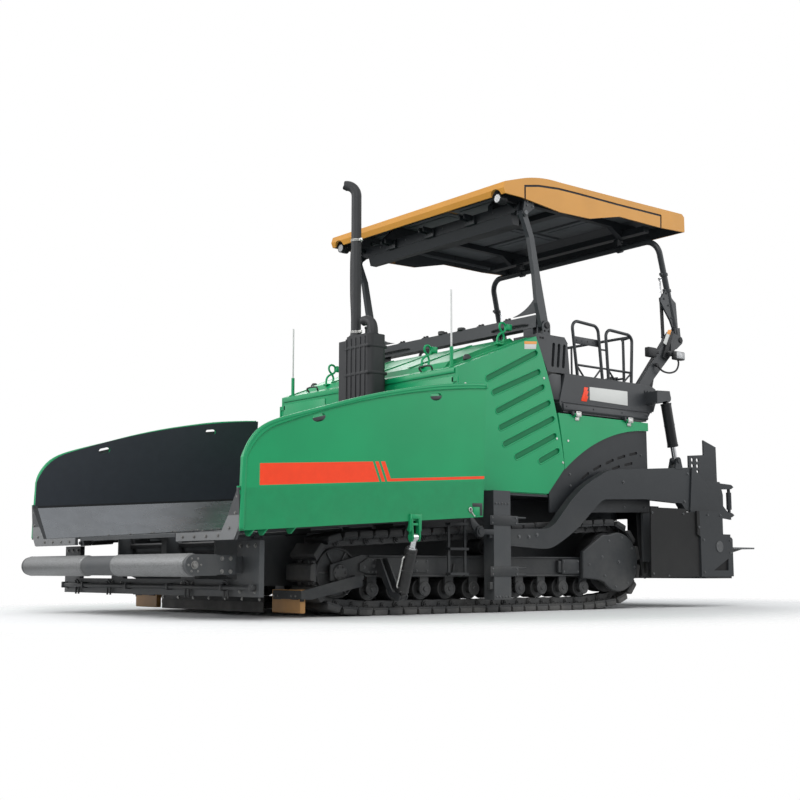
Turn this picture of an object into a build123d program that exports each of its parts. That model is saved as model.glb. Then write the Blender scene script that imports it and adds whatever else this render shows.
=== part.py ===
from build123d import *
from math import acos, atan2, cos, degrees, hypot, pi, radians, sin
import os

# Asphalt paver on tracks. Millimetres. +X is forward, towards the hopper, +Y is the machine's
# left and +Z is up. The ground is at z = 0 and the origin lies under the middle of its box.

# ---- Tracks -------------------------------------------------------------------------------
TRACK_OUT = 1250            # outer face of the shoes, from the middle of the machine
SHOE_WIDTH = 320
PITCH = 150                 # pin to pin
SHOE_TIP = 80               # wearing face of a pad above the pin line
SHOE_ROOT = 38              # shoe plate above the pin line
SHOE_GAP = 7                # from a pin to the edge of its pad
LINK_HALF = 35              # half the height of a chain link
LINK_WIDTH = 44
LINK_SPREAD = 96            # between the middles of the two rails of a chain
IDLER_X, IDLER_Z, IDLER_R = 1870, 330, 230
SPROCKET_X, SPROCKET_Z = -1250, 425
SPROCKET_TEETH = 13
ROLLER_R = 85
ROLLER_COUNT = 10
ROLLER_FRONT_X = 1560
ROLLER_STEP = 270
CARRIER_X, CARRIER_R = 300, 70
RUN = 0.3                   # gap between round pieces that turn or seat on each other

SPROCKET_R = PITCH / 2 / sin(pi / SPROCKET_TEETH)
ROLLER_Z = SHOE_TIP + LINK_HALF + RUN + ROLLER_R
TRACK_MID = TRACK_OUT - SHOE_WIDTH / 2

# ---- Main frame and hopper ------------------------------------------------------------------
FRAME_OUT = 772             # outer face of the frame's side plates
PLATE = 20
FRAME_BOTTOM = 230
FRAME_FRONT = 2700
FRAME_REAR = -1790
DECK_TOP = 1008             # plate that carries the hood and the platform
BODY_OUT = 1258             # outer face of what is under the side doors
HOPPER_FRONT = 3068         # front edge of the wings
HOPPER_REAR = 735
HOPPER_FLOOR_FRONT = 618    # height of the hopper floor at its front edge
HOPPER_RISE = 0.0677        # the floor rises this much for each unit rearwards
WING_HINGE_Y = 806
WING_HINGE_DROP = 48        # hinge axis under the hopper floor
KNUCKLE_R = 26
PIN_R = 14
WING_OUT = 1670
WING_WALL = 25
WING_SHEET = 16
WING_BEND = 1440            # where the wing's floor turns up into its slope
WING_SLOPE_TOP = 270
REAR_WALL_X = 709
REAR_WALL = 20

SLOPE_ANGLE = atan2(HOPPER_RISE, 1)


def floor_z(x):
    """Height of the hopper floor at a place along the machine."""
    return HOPPER_FLOOR_FRONT + (HOPPER_FRONT - x) * HOPPER_RISE


# ---- Small helpers --------------------------------------------------------------------------
def side_plane(y):
    """Sketch plane seen from the machine's right, X to the right, extruding towards -Y."""
    return Plane.XZ.offset(-y)


def hopper_plane(x):
    """Cross-section plane of the sloping hopper: across, up from its floor, forward."""
    forward = (cos(SLOPE_ANGLE), 0, -sin(SLOPE_ANGLE))
    return Plane(origin=(x, 0, floor_z(x)), x_dir=(0, 1, 0), z_dir=forward)


def belt_pins(wheels, pitch):
    """Pins at equal steps along a belt round the wheels (x, z, r), taken anticlockwise."""
    normals = []
    for (x0, z0, r0), (x1, z1, r1) in zip(wheels, wheels[1:] + wheels[:1]):
        span = hypot(x1 - x0, z1 - z0)
        normals.append(atan2(z1 - z0, x1 - x0) - acos((r0 - r1) / span))
    pieces = []
    for i, (x0, z0, r0) in enumerate(wheels):
        turn = (normals[i] - normals[i - 1]) % (2 * pi)
        pieces.append((r0 * turn, ("arc", x0, z0, r0, normals[i - 1], turn)))
        x1, z1, r1 = wheels[(i + 1) % len(wheels)]
        a = normals[i]
        start = (x0 + r0 * cos(a), z0 + r0 * sin(a))
        end = (x1 + r1 * cos(a), z1 + r1 * sin(a))
        pieces.append((hypot(end[0] - start[0], end[1] - start[1]), ("line", start, end)))
    length = sum(size for size, _ in pieces)
    count = round(length / pitch)
    pins = []
    for k in range(count):
        s = length * k / count
        for size, shape in pieces:
            if s <= size:
                break
            s -= size
        if shape[0] == "arc":
            _, cx, cz, r, a0, turn = shape
            a = a0 + turn * s / size
            pins.append((cx + r * cos(a), cz + r * sin(a)))
        else:
            (xa, za), (xb, zb) = shape[1], shape[2]
            pins.append((xa + (xb - xa) * s / size, za + (zb - za) * s / size))
    return pins


def link_frames(pins):
    """Each link as its two pins, its direction and its outward normal."""
    frames = []
    for (x0, z0), (x1, z1) in zip(pins, pins[1:] + pins[:1]):
        span = hypot(x1 - x0, z1 - z0)
        u = ((x1 - x0) / span, (z1 - z0) / span)
        frames.append(((x0, z0), (x1, z1), u, (u[1], -u[0])))
    return frames


def shoe_outline(pins, root, tip, gap):
    """Outline of the shoes, one pad between each two pins."""
    points = []
    for p0, p1, u, n in link_frames(pins):
        for base, along, out in ((p0, gap, root), (p0, gap + 3, tip), (p1, -gap - 3, tip), (p1, -gap, root)):
            points.append((base[0] + along * u[0] + out * n[0], base[1] + along * u[1] + out * n[1]))
    return points


def pin_outline(pins, out):
    """Outline through the pins, moved outwards by a distance."""
    frames = link_frames(pins)
    points = []
    for before, after in zip(frames[-1:] + frames[:-1], frames):
        nx, nz = before[3][0] + after[3][0], before[3][1] + after[3][1]
        size = hypot(nx, nz)
        points.append((after[0][0] + out * nx / size, after[0][1] + out * nz / size))
    return points


def clear_radius(x, z, outline):
    """Radius of the largest wheel at a place that stays off an outline by the running gap."""
    size = []
    for (x0, z0), (x1, z1) in zip(outline, outline[1:] + outline[:1]):
        span = hypot(x1 - x0, z1 - z0)
        share = ((x - x0) * (x1 - x0) + (z - z0) * (z1 - z0)) / span / span
        share = min(1, max(0, share))
        size.append(hypot(x0 + share * (x1 - x0) - x, z0 + share * (z1 - z0) - z))
    return min(size) - RUN


CENTRE = []                 # (node name, builder)
MIRRORED = []               # (node name, builder of the left half); both halves share a node
PAIRS = []                  # (node name, builder of the left-hand piece); a node for each side

# ---- Track: shoes on a two-rail chain ---------------------------------------------------------
track_wheels_plan = [
    (ROLLER_FRONT_X, ROLLER_Z, ROLLER_R + LINK_HALF + RUN),
    (IDLER_X, IDLER_Z, IDLER_R),
    (SPROCKET_X, SPROCKET_Z, SPROCKET_R),
    (ROLLER_FRONT_X - (ROLLER_COUNT - 1) * ROLLER_STEP, ROLLER_Z, ROLLER_R + LINK_HALF + RUN),
]
track_pins = belt_pins(track_wheels_plan, PITCH)

with BuildPart() as track:
    with BuildSketch(side_plane(TRACK_OUT)):
        with BuildLine():
            Polyline(*shoe_outline(track_pins, SHOE_ROOT, SHOE_TIP, SHOE_GAP), close=True)
        make_face()
        with BuildLine():
            Polyline(*pin_outline(track_pins, SHOE_ROOT - 16), close=True)
        make_face(mode=Mode.SUBTRACT)
    extrude(amount=SHOE_WIDTH)
    for rail_mid in (TRACK_MID - LINK_SPREAD / 2, TRACK_MID + LINK_SPREAD / 2):
        with BuildSketch(side_plane(rail_mid + LINK_WIDTH / 2)):
            with BuildLine():
                Polyline(*pin_outline(track_pins, SHOE_ROOT - 12), close=True)
            make_face()
            with BuildLine():
                Polyline(*pin_outline(track_pins, -LINK_HALF), close=True)
            make_face(mode=Mode.SUBTRACT)
        extrude(amount=LINK_WIDTH)
PAIRS.append(("track", track))

# ---- Wheels inside the track ------------------------------------------------------------------
WHEEL_HALF = (LINK_SPREAD + LINK_WIDTH) / 2 + 8
HUB_R = 42
AXLE_HALF = 112             # half the length of an axle, up to the roller frame's cheeks
chain_inside = pin_outline(track_pins, -LINK_HALF)
SPROCKET_FACE_R = clear_radius(SPROCKET_X, SPROCKET_Z, chain_inside)
IDLER_FACE_R = clear_radius(IDLER_X, IDLER_Z, chain_inside)
CARRIER_Z = IDLER_Z + IDLER_R + (SPROCKET_Z + SPROCKET_R - IDLER_Z - IDLER_R) * (
    (IDLER_X - CARRIER_X) / (IDLER_X - SPROCKET_X)) - LINK_HALF - 2 - CARRIER_R
roller_places = [(ROLLER_FRONT_X - k * ROLLER_STEP, ROLLER_Z) for k in range(ROLLER_COUNT)]

wheel_discs = []             # (x, z, radius, half width)
for x, z in roller_places:
    roller_r = min(ROLLER_R, clear_radius(x, z, chain_inside))
    wheel_discs += [(x, z, roller_r, WHEEL_HALF), (x, z, HUB_R, AXLE_HALF - RUN)]
wheel_discs += [
    (CARRIER_X, CARRIER_Z, CARRIER_R, WHEEL_HALF),
    (CARRIER_X, CARRIER_Z, HUB_R, AXLE_HALF - RUN),
    (IDLER_X, IDLER_Z, IDLER_FACE_R, WHEEL_HALF),
    (IDLER_X, IDLER_Z, HUB_R * 1.6, AXLE_HALF - RUN),
    (SPROCKET_X, SPROCKET_Z, SPROCKET_FACE_R, WHEEL_HALF - 8),
    (SPROCKET_X, SPROCKET_Z, SPROCKET_FACE_R * 0.6, AXLE_HALF - RUN),
]

with BuildPart() as track_wheels:
    for x, z, radius, half in wheel_discs:
        with BuildSketch(side_plane(TRACK_MID + half)):
            with Locations((x, z)):
                Circle(radius)
        extrude(amount=2 * half)
MIRRORED.append(("track_wheels", track_wheels))

# ---- Track frame: a box beam with roller cheeks, an idler fork and a drive plate ----------------
BEAM_BOTTOM, BEAM_TOP = 300, 466
CHEEK = 18
CHEEK_IN = TRACK_MID - AXLE_HALF - CHEEK
CHEEK_OUT = TRACK_MID + AXLE_HALF + CHEEK
TIE_X = (-300, 1200)        # cross tubes to the main frame
TIE_R = 68
TIE_Z = 390
COVER_R = 268
COVER_PLATE = 34
COVER_OUT = TRACK_OUT + 6 + COVER_PLATE
COVER_TIP_X = -800          # front end of the drive cover's tongue
# The wing's cylinder lies in a cross-section square to the wing's hinge: the pins are (across, up) in it.
CYL_X, CYL_Z = 1500, 596
CYL_PLANE = Plane(origin=(CYL_X, 0, CYL_Z), x_dir=(0, 1, 0), z_dir=(cos(SLOPE_ANGLE), 0, -sin(SLOPE_ANGLE)))
CYL_FOOT = (1470, -447)
CYL_HEAD = (WING_OUT - 14, 0)
CYL_PIN_R = 16
CYL_LUG = (                 # foot of the cylinder, round its pin: a slanted plate from the track frame
    (-254, 290), (-180, 290), (-70, 64), (-51, 34), (-16, 32), (16, 30), (34, 0), (16, -30), (-20, -34),
    (-90, 10), (-184, 150), (-254, 150))
CLEVIS = 14
CLEVIS_GAP = 56
BOSS = 8                    # round end of a pin outside its lug
SCRAPER_X, SCRAPER_THICK = 2215, 44
SCRAPER_IN, SCRAPER_OUT = 885, 1252
SCRAPER_BOTTOM, SCRAPER_TOP = 32, 206
SCRAPER_ARM_Y = 1268
SCRAPER_ARM_X, SCRAPER_ARM_Z = 1745, 264

with BuildPart() as track_frame:
    for face, rear in ((CHEEK_OUT, -960), (CHEEK_IN + CHEEK, SPROCKET_X - 150)):
        with BuildSketch(side_plane(face)):
            with BuildLine():
                Polyline(
                    (rear, BEAM_BOTTOM + 20), (rear + 80, BEAM_BOTTOM), (1660, BEAM_BOTTOM),
                    (1960, IDLER_Z - 60), (1960, IDLER_Z + 60), (1660, BEAM_TOP), (rear + 80, BEAM_TOP),
                    (rear, BEAM_TOP - 20), close=True)
            make_face()
            for x, z in roller_places:
                with Locations((x, (BEAM_BOTTOM + z) / 2)):
                    Rectangle(90, BEAM_BOTTOM - z + 4)
                with Locations((x, z)):
                    Circle(45)
            with Locations((CARRIER_X, (BEAM_TOP + CARRIER_Z) / 2)):
                Rectangle(60, CARRIER_Z - BEAM_TOP + 60)
        extrude(amount=CHEEK)
    with BuildSketch(side_plane(CHEEK_OUT - CHEEK)):
        with Locations((350, BEAM_TOP - 8)):
            Rectangle(2300, 16)
        with Locations((350, BEAM_BOTTOM + 8)):
            Rectangle(2300, 16)
    extrude(amount=2 * AXLE_HALF)
    with BuildSketch(side_plane(CHEEK_IN)):
        with Locations(*[(x, TIE_Z) for x in TIE_X]):
            Circle(TIE_R)
    extrude(amount=CHEEK_IN - FRAME_OUT)
    # Foot of the wing's cylinder, reaching out over the track.
    for face in (CLEVIS_GAP / 2, -CLEVIS_GAP / 2 - CLEVIS):
        with BuildSketch(CYL_PLANE.offset(face)):
            with BuildLine():
                Polyline(*[(CYL_FOOT[0] + a, CYL_FOOT[1] + b) for a, b in CYL_LUG], close=True)
            make_face()
        extrude(amount=CLEVIS)
    with BuildSketch(CYL_PLANE.offset(-CLEVIS_GAP / 2)):
        with Locations(CYL_FOOT):
            Circle(CYL_PIN_R)
    extrude(amount=CLEVIS_GAP)
    # Arm that carries the scraper in front of the track.
    with BuildSketch(side_plane(SCRAPER_ARM_Y + 16)):
        with BuildLine():
            Polyline(
                (SCRAPER_X + SCRAPER_THICK, SCRAPER_TOP - 8),
                (SCRAPER_X + SCRAPER_THICK + 14, SCRAPER_TOP - 8),
                (SCRAPER_X + SCRAPER_THICK + 14, SCRAPER_TOP - 70), (SCRAPER_X - 30, SCRAPER_TOP - 74),
                (1700, 226), (1700, 300), (1790, 300), close=True)
        make_face()
    extrude(amount=16)
    with BuildSketch(side_plane(SCRAPER_ARM_Y)):
        with Locations((SCRAPER_X + SCRAPER_THICK + 7, SCRAPER_TOP - 39)):
            Rectangle(14, 62)
    extrude(amount=SCRAPER_ARM_Y - SCRAPER_IN - 30)
    with BuildSketch(side_plane(SCRAPER_ARM_Y)):
        with Locations((SCRAPER_ARM_X, SCRAPER_ARM_Z)):
            Circle(20)
        with Locations((SCRAPER_ARM_X - 25, BEAM_BOTTOM - 6)):
            Rectangle(90, 32)
    extrude(amount=SCRAPER_ARM_Y - CHEEK_OUT + 4)
MIRRORED.append(("track_frames", track_frame))

with BuildPart() as drive_cover:
    with BuildSketch(side_plane(COVER_OUT)):
        with Locations((SPROCKET_X - 30, SPROCKET_Z)):
            Circle(COVER_R)
        with BuildLine():
            Polyline(
                (COVER_TIP_X, 515), (-1075, 672), (SPROCKET_X - 30, SPROCKET_Z + COVER_R - 20),
                (SPROCKET_X - 30, SPROCKET_Z - COVER_R + 30), (-1010, 262), (COVER_TIP_X, 280), close=True)
        make_face()
    extrude(amount=COVER_PLATE)
    fillet(drive_cover.faces().sort_by(Axis.Y)[-1].edges(), 12)
    # Spacer to the cheek of the track frame.
    with BuildSketch(side_plane(TRACK_OUT + 8)):
        with Locations((-880, TIE_Z)):
            Rectangle(110, 120)
    extrude(amount=TRACK_OUT + 8 - CHEEK_OUT)
MIRRORED.append(("drive_covers", drive_cover))

# ---- Main frame -------------------------------------------------------------------------------
SIDE_TOP = -2               # top of the side plates under the hopper, from its floor
DIVIDER_HALF = 40
LUG_LENGTH = 70
KNUCKLE_LENGTH = 180
KNUCKLE_STEPS = (0.14, 0.5, 0.86)
GUIDE_X0, GUIDE_X1 = 235, 430
GUIDE_IN, GUIDE_OUT = 1300, 1420
GUIDE_BOTTOM = 110
GUIDE_PLATE = 12
TOW_X, TOW_Z = 300, 622
TOW_PIN_R = 30
ARM_IN, ARM_OUT = 1320, 1400
HOPPER_LENGTH = (HOPPER_FRONT - HOPPER_REAR) / cos(SLOPE_ANGLE)
CONVEYOR_R = 62             # pin line round the conveyor's end rollers
CONVEYOR_IN, CONVEYOR_OUT = 62, 736
CHAIN_HALF = 12
SLAT_UP = 26
ROLLER_DROP = CONVEYOR_R + SLAT_UP + 8      # axis of a conveyor's end roller under the hopper floor
RUNNER_TOP = -ROLLER_DROP * cos(SLOPE_ANGLE) + CONVEYOR_R - CHAIN_HALF - RUN

with BuildPart() as main_frame:
    for face in (FRAME_OUT, -FRAME_OUT + PLATE):
        with BuildSketch(side_plane(face)):
            with BuildLine():
                Polyline(
                    (FRAME_REAR, FRAME_BOTTOM + 140), (FRAME_REAR + 300, FRAME_BOTTOM), (2400, FRAME_BOTTOM),
                    (FRAME_FRONT, FRAME_BOTTOM + 120), (FRAME_FRONT, floor_z(FRAME_FRONT) + SIDE_TOP),
                    (REAR_WALL_X - 2, floor_z(REAR_WALL_X) + SIDE_TOP), (REAR_WALL_X - 2, DECK_TOP - PLATE),
                    (FRAME_REAR, DECK_TOP - PLATE), close=True)
            make_face()
        extrude(amount=PLATE)
    inner = 2 * (FRAME_OUT - PLATE)
    with BuildSketch(Plane.XY.offset(FRAME_BOTTOM)):
        with Locations((500, 0)):
            Rectangle(3800, inner)
    extrude(amount=12)
    with BuildSketch(side_plane(FRAME_OUT - PLATE)):
        with Locations((FRAME_FRONT - 6, (FRAME_BOTTOM + 120 + 460) / 2)):
            Rectangle(12, 460 - FRAME_BOTTOM - 120)
    extrude(amount=inner)
    with BuildSketch(side_plane(DIVIDER_HALF)):
        with BuildLine():
            Polyline(
                (FRAME_REAR, 440), (FRAME_REAR + 300, FRAME_BOTTOM), (2350, FRAME_BOTTOM),
                (FRAME_FRONT, 440), (FRAME_FRONT, floor_z(FRAME_FRONT) - 20),
                (REAR_WALL_X, floor_z(REAR_WALL_X) - 20), (FRAME_REAR, 700), close=True)
        make_face()
    extrude(amount=2 * DIVIDER_HALF)
    # Deck over the tracks, with the outriggers that hang the tow guides.
    with BuildSketch(Plane.XY.offset(DECK_TOP - PLATE)):
        with Locations(((REAR_WALL_X + FRAME_REAR) / 2, 0)):
            Rectangle(REAR_WALL_X - FRAME_REAR, 2 * BODY_OUT)
        with Locations(((GUIDE_X0 + GUIDE_X1) / 2, 0)):
            Rectangle(GUIDE_X1 - GUIDE_X0, 2 * GUIDE_OUT)
    extrude(amount=PLATE)
    # Tow guides: channels open to the rear, with the pin that each tow arm turns on.
    for side in (1, -1):
        low, high = sorted((side * GUIDE_IN, side * GUIDE_OUT))
        with BuildSketch(side_plane(high)):
            with Locations((GUIDE_X1 - GUIDE_PLATE, (GUIDE_BOTTOM + DECK_TOP - PLATE) / 2)):
                Rectangle(2 * GUIDE_PLATE, DECK_TOP - PLATE - GUIDE_BOTTOM)
        extrude(amount=high - low)
        for face in (high, low + GUIDE_PLATE):
            with BuildSketch(side_plane(face)):
                with Locations(((GUIDE_X0 + GUIDE_X1) / 2, (GUIDE_BOTTOM + DECK_TOP - PLATE) / 2)):
                    Rectangle(GUIDE_X1 - GUIDE_X0, DECK_TOP - PLATE - GUIDE_BOTTOM)
            extrude(amount=GUIDE_PLATE)
        with BuildSketch(side_plane(high)):
            with Locations((TOW_X, TOW_Z)):
                Circle(TOW_PIN_R)
        extrude(amount=high - low)
        # Hinge pin of the wing, along the hopper, and the lugs that carry it.
        with BuildSketch(hopper_plane(HOPPER_REAR)):
            with Locations((side * WING_HINGE_Y, -WING_HINGE_DROP)):
                Circle(PIN_R)
        extrude(amount=HOPPER_LENGTH - 30)
        for step in (0.02, 0.32, 0.68, 0.95):
            lug_x = HOPPER_REAR + step * (HOPPER_FRONT - HOPPER_REAR)
            with BuildSketch(hopper_plane(lug_x)):
                with Locations((side * WING_HINGE_Y, -WING_HINGE_DROP)):
                    Circle(KNUCKLE_R)
                with Locations((side * (FRAME_OUT - 10 + WING_HINGE_Y) / 2, -WING_HINGE_DROP)):
                    Rectangle(WING_HINGE_Y - FRAME_OUT + 10, 2 * KNUCKLE_R)
            extrude(amount=LUG_LENGTH)
        # Upright rail at the rear corner.
        with BuildSketch(Plane.XY.offset(432)):
            with Locations((FRAME_REAR + 55, side * (BODY_OUT - 12))):
                Rectangle(110, 24)
        extrude(amount=DECK_TOP - PLATE - 432)
    # Runners under the upper run of each conveyor's chains.
    with BuildSketch(hopper_plane(HOPPER_REAR + 30)):
        for side in (1, -1):
            for low, high in (
                    (DIVIDER_HALF - 2, CONVEYOR_IN + 38), (CONVEYOR_OUT - 38, FRAME_OUT - PLATE + 2)):
                with Locations((side * (low + high) / 2, RUNNER_TOP - 10)):
                    Rectangle(high - low, 20)
    extrude(amount=1680)
    # Front floor lip between the wings.
    with BuildSketch(hopper_plane(FRAME_FRONT)):
        with Locations((0, -16)):
            Rectangle(2 * (FRAME_OUT - 2), 28)
    extrude(amount=(HOPPER_FRONT - 20 - FRAME_FRONT) / cos(SLOPE_ANGLE))
CENTRE.append(("main_frame", main_frame))

# ---- Slat conveyors in the hopper floor --------------------------------------------------------
SLAT_PITCH = 160
conveyor_plan = [
    (2560, floor_z(2560) - ROLLER_DROP, CONVEYOR_R),
    (640, floor_z(640) - ROLLER_DROP, CONVEYOR_R),
    (-1700, 600, CONVEYOR_R),
]
conveyor_pins = belt_pins(conveyor_plan, SLAT_PITCH)

with BuildPart() as conveyor:
    for rail_face in (CONVEYOR_OUT, CONVEYOR_IN + 40):
        with BuildSketch(side_plane(rail_face)):
            with BuildLine():
                Polyline(*pin_outline(conveyor_pins, CHAIN_HALF), close=True)
            make_face()
            with BuildLine():
                Polyline(*pin_outline(conveyor_pins, -CHAIN_HALF), close=True)
            make_face(mode=Mode.SUBTRACT)
        extrude(amount=40)
    for (x0, z0), (x1, z1), u, n in link_frames(conveyor_pins):
        middle = ((x0 + x1) / 2, (z0 + z1) / 2)
        with BuildSketch(side_plane(CONVEYOR_OUT)):
            with BuildLine():
                Polyline(*[(middle[0] + a * u[0] + b * n[0], middle[1] + a * u[1] + b * n[1])
                           for a, b in ((-22, CHAIN_HALF - 6), (-14, SLAT_UP), (14, SLAT_UP),
                           (22, CHAIN_HALF - 6))],
                         close=True)
            make_face()
        extrude(amount=CONVEYOR_OUT - CONVEYOR_IN)
MIRRORED.append(("conveyors", conveyor))

# ---- Hopper rear wall with the two conveyor gates ----------------------------------------------
GATE_HEIGHT = 300
WALL_TOP = 1480
WALL_BOTTOM = floor_z(REAR_WALL_X) - 1
with BuildPart() as hopper_back:
    with BuildSketch(Plane(origin=(REAR_WALL_X, 0, 0), x_dir=(0, 1, 0), z_dir=(1, 0, 0))):
        with BuildLine():
            Polyline(
                (1550, WALL_BOTTOM), (1600, 1250), (1240, WALL_TOP), (-1240, WALL_TOP), (-1600, 1250),
                (-1550, WALL_BOTTOM), close=True)
        make_face()
        for side in (1, -1):
            with Locations((side * (CONVEYOR_IN + CONVEYOR_OUT) / 2, WALL_BOTTOM)):
                Rectangle(CONVEYOR_OUT - CONVEYOR_IN + 12, 2 * GATE_HEIGHT, mode=Mode.SUBTRACT)
    extrude(amount=REAR_WALL)
CENTRE.append(("hopper_back", hopper_back))

# ---- Hopper wing --------------------------------------------------------------------------------
LIFT_HOLES = ((2409, 1440, -15), (1283, 1690, -8))
WING_RIM = 14               # how far the rim stands out
WING_RIM_WIDTH = 34
wing_inner_y = WING_HINGE_Y + 12

with BuildPart() as hopper_wing:
    with BuildSketch(hopper_plane(HOPPER_REAR + 25)):
        with BuildLine():
            Polyline(
                (wing_inner_y, 0), (WING_BEND, 0), (WING_OUT - WING_WALL, WING_SLOPE_TOP),
                (WING_OUT - 2, WING_SLOPE_TOP), (WING_OUT - 2, WING_SLOPE_TOP - 26),
                (WING_OUT - WING_WALL + 4, WING_SLOPE_TOP - 26),
                (WING_BEND + 10, -WING_SHEET), (wing_inner_y, -WING_SHEET), close=True)
        make_face()
    extrude(amount=(HOPPER_FRONT - HOPPER_REAR - 40) / cos(SLOPE_ANGLE))
    with BuildSketch(side_plane(WING_OUT)):
        with BuildLine():
            top = ThreePointArc((HOPPER_REAR, 1833), (1790, 1676), (2780, 1391))
            corner = TangentArc(top @ 1, (3054, 1118), tangent=top % 1)
            Polyline(
                corner @ 1, (HOPPER_FRONT, HOPPER_FLOOR_FRONT - 4),
                (HOPPER_REAR + 55, floor_z(HOPPER_REAR + 55) - 4),
                top @ 0)
        make_face()
        for x, z, tilt in LIFT_HOLES:
            with Locations((x, z)):
                SlotCenterToCenter(70, 46, rotation=tilt, mode=Mode.SUBTRACT)
    extrude(amount=WING_WALL)
    # Rounded rim along the wing's top and front edge, proud of the wall.
    with BuildSketch(side_plane(WING_OUT + WING_RIM)):
        with BuildLine():
            top = ThreePointArc((HOPPER_REAR, 1833), (1790, 1676), (2780, 1391))
            corner = TangentArc(top @ 1, (3054, 1118), tangent=top % 1)
            Polyline(
                corner @ 1, (HOPPER_FRONT, HOPPER_FLOOR_FRONT + 20),
                (HOPPER_FRONT - WING_RIM_WIDTH, HOPPER_FLOOR_FRONT + 20), (3054 - WING_RIM_WIDTH, 1118))
            inner = ThreePointArc(
                (HOPPER_REAR, 1833 - WING_RIM_WIDTH), (1790, 1676 - WING_RIM_WIDTH),
                (2769, 1391 - WING_RIM_WIDTH))
            TangentArc(inner @ 1, (3054 - WING_RIM_WIDTH, 1118), tangent=inner % 1)
            Line(inner @ 0, top @ 0)
        make_face()
    extrude(amount=WING_RIM + 2)
    fillet(hopper_wing.faces().sort_by(Axis.Y)[-1].edges(), 8)
    # Front flange of the wing and the ribs under its slope.
    with BuildSketch(hopper_plane(HOPPER_FRONT - 24)):
        with BuildLine():
            Polyline(
                (wing_inner_y, -2), (wing_inner_y, -64), (WING_OUT - 70, -64), (WING_OUT - 4, 30),
                (WING_OUT - 4, 300), (WING_OUT - WING_WALL - 2, 300),
                (WING_OUT - WING_WALL - 2, WING_SLOPE_TOP),
                (WING_BEND, -2), close=True)
        make_face()
    extrude(amount=18)
    for share in (0.1, 0.36, 0.62, 0.88):
        with BuildSketch(hopper_plane(HOPPER_REAR + share * (HOPPER_FRONT - HOPPER_REAR))):
            with BuildLine():
                Polyline(
                    (WING_BEND, -10), (WING_OUT - 4, -4), (WING_OUT - 4, WING_SLOPE_TOP - 10), close=True)
            make_face()
        extrude(amount=12)
    # Hinge knuckles on the frame's pin.
    for share in KNUCKLE_STEPS:
        with BuildSketch(hopper_plane(HOPPER_REAR + share * (HOPPER_FRONT - HOPPER_REAR))):
            with Locations((WING_HINGE_Y, -WING_HINGE_DROP)):
                Circle(KNUCKLE_R)
            with Locations((WING_HINGE_Y + 39, -WING_HINGE_DROP + 12)):
                Rectangle(66, 44)
            with Locations((WING_HINGE_Y, -WING_HINGE_DROP)):
                Circle(PIN_R + RUN, mode=Mode.SUBTRACT)
        extrude(amount=KNUCKLE_LENGTH)
    # Bracket for the lifting cylinder.
    for face in (CLEVIS_GAP / 2, -CLEVIS_GAP / 2 - CLEVIS):
        with BuildSketch(CYL_PLANE.offset(face)):
            with BuildLine():
                Polyline(*[(CYL_HEAD[0] + a, CYL_HEAD[1] + b) for a, b in (
                    (-44, 140), (-34, -10), (-12, -34), (22, -30), (34, 0), (34, 140))], close=True)
            make_face()
        extrude(amount=CLEVIS)
    for face in (CLEVIS_GAP / 2 + CLEVIS, -CLEVIS_GAP / 2 - CLEVIS - BOSS):
        with BuildSketch(CYL_PLANE.offset(face)):
            with Locations(CYL_HEAD):
                Circle(CYL_PIN_R + 6)
        extrude(amount=BOSS)
PAIRS.append(("hopper_wing", hopper_wing))
# ---- Cylinders: a barrel and a rod, each with an eye on its pin ------------------------------------
LIFT_FOOT_X, LIFT_FOOT_Z = -2060, 1392
LIFT_HEAD_X, LIFT_HEAD_Z = -1930, 1985
LIFT_Y = 1360
LIFT_PIN_R = 18
HOOP_X, HOOP_Z = -2350, 2620
STRUT_Y = 1130
STRUT_PIN_R = 8
STRUT_PIN_LENGTH = 20       # from the middle of its eye towards the hoop's leg
STRUT_LOW_X, STRUT_LOW_Z = HOOP_X + 130, HOOP_Z
STRUT_HIGH_X, STRUT_HIGH_Z = HOOP_X + 155, HOOP_Z + 620
CYLINDERS = (
    # name, barrel's pin, rod's pin, pin direction,
    # barrel r, bore, rod r, eye r, eye width, pin r, barrel from, barrel to, rod from
    ("wing", CYL_PLANE.from_local_coords(CYL_FOOT), CYL_PLANE.from_local_coords(CYL_HEAD), CYL_PLANE.z_dir,
     46, 38, 25.7, 30, 46, CYL_PIN_R, 42, 392, 76),
    ("lift", (LIFT_HEAD_X, LIFT_Y, LIFT_HEAD_Z), (LIFT_FOOT_X, LIFT_Y, LIFT_FOOT_Z), (0, 1, 0),
     50, 26.3, 26, 34, 42, LIFT_PIN_R, 48, 470, 150),
    ("strut", (STRUT_LOW_X, STRUT_Y, STRUT_LOW_Z), (STRUT_HIGH_X, STRUT_Y, STRUT_HIGH_Z), (0, 1, 0),
     18, 9.3, 9, 16, 20, STRUT_PIN_R, 24, 430, 58),
)
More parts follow.
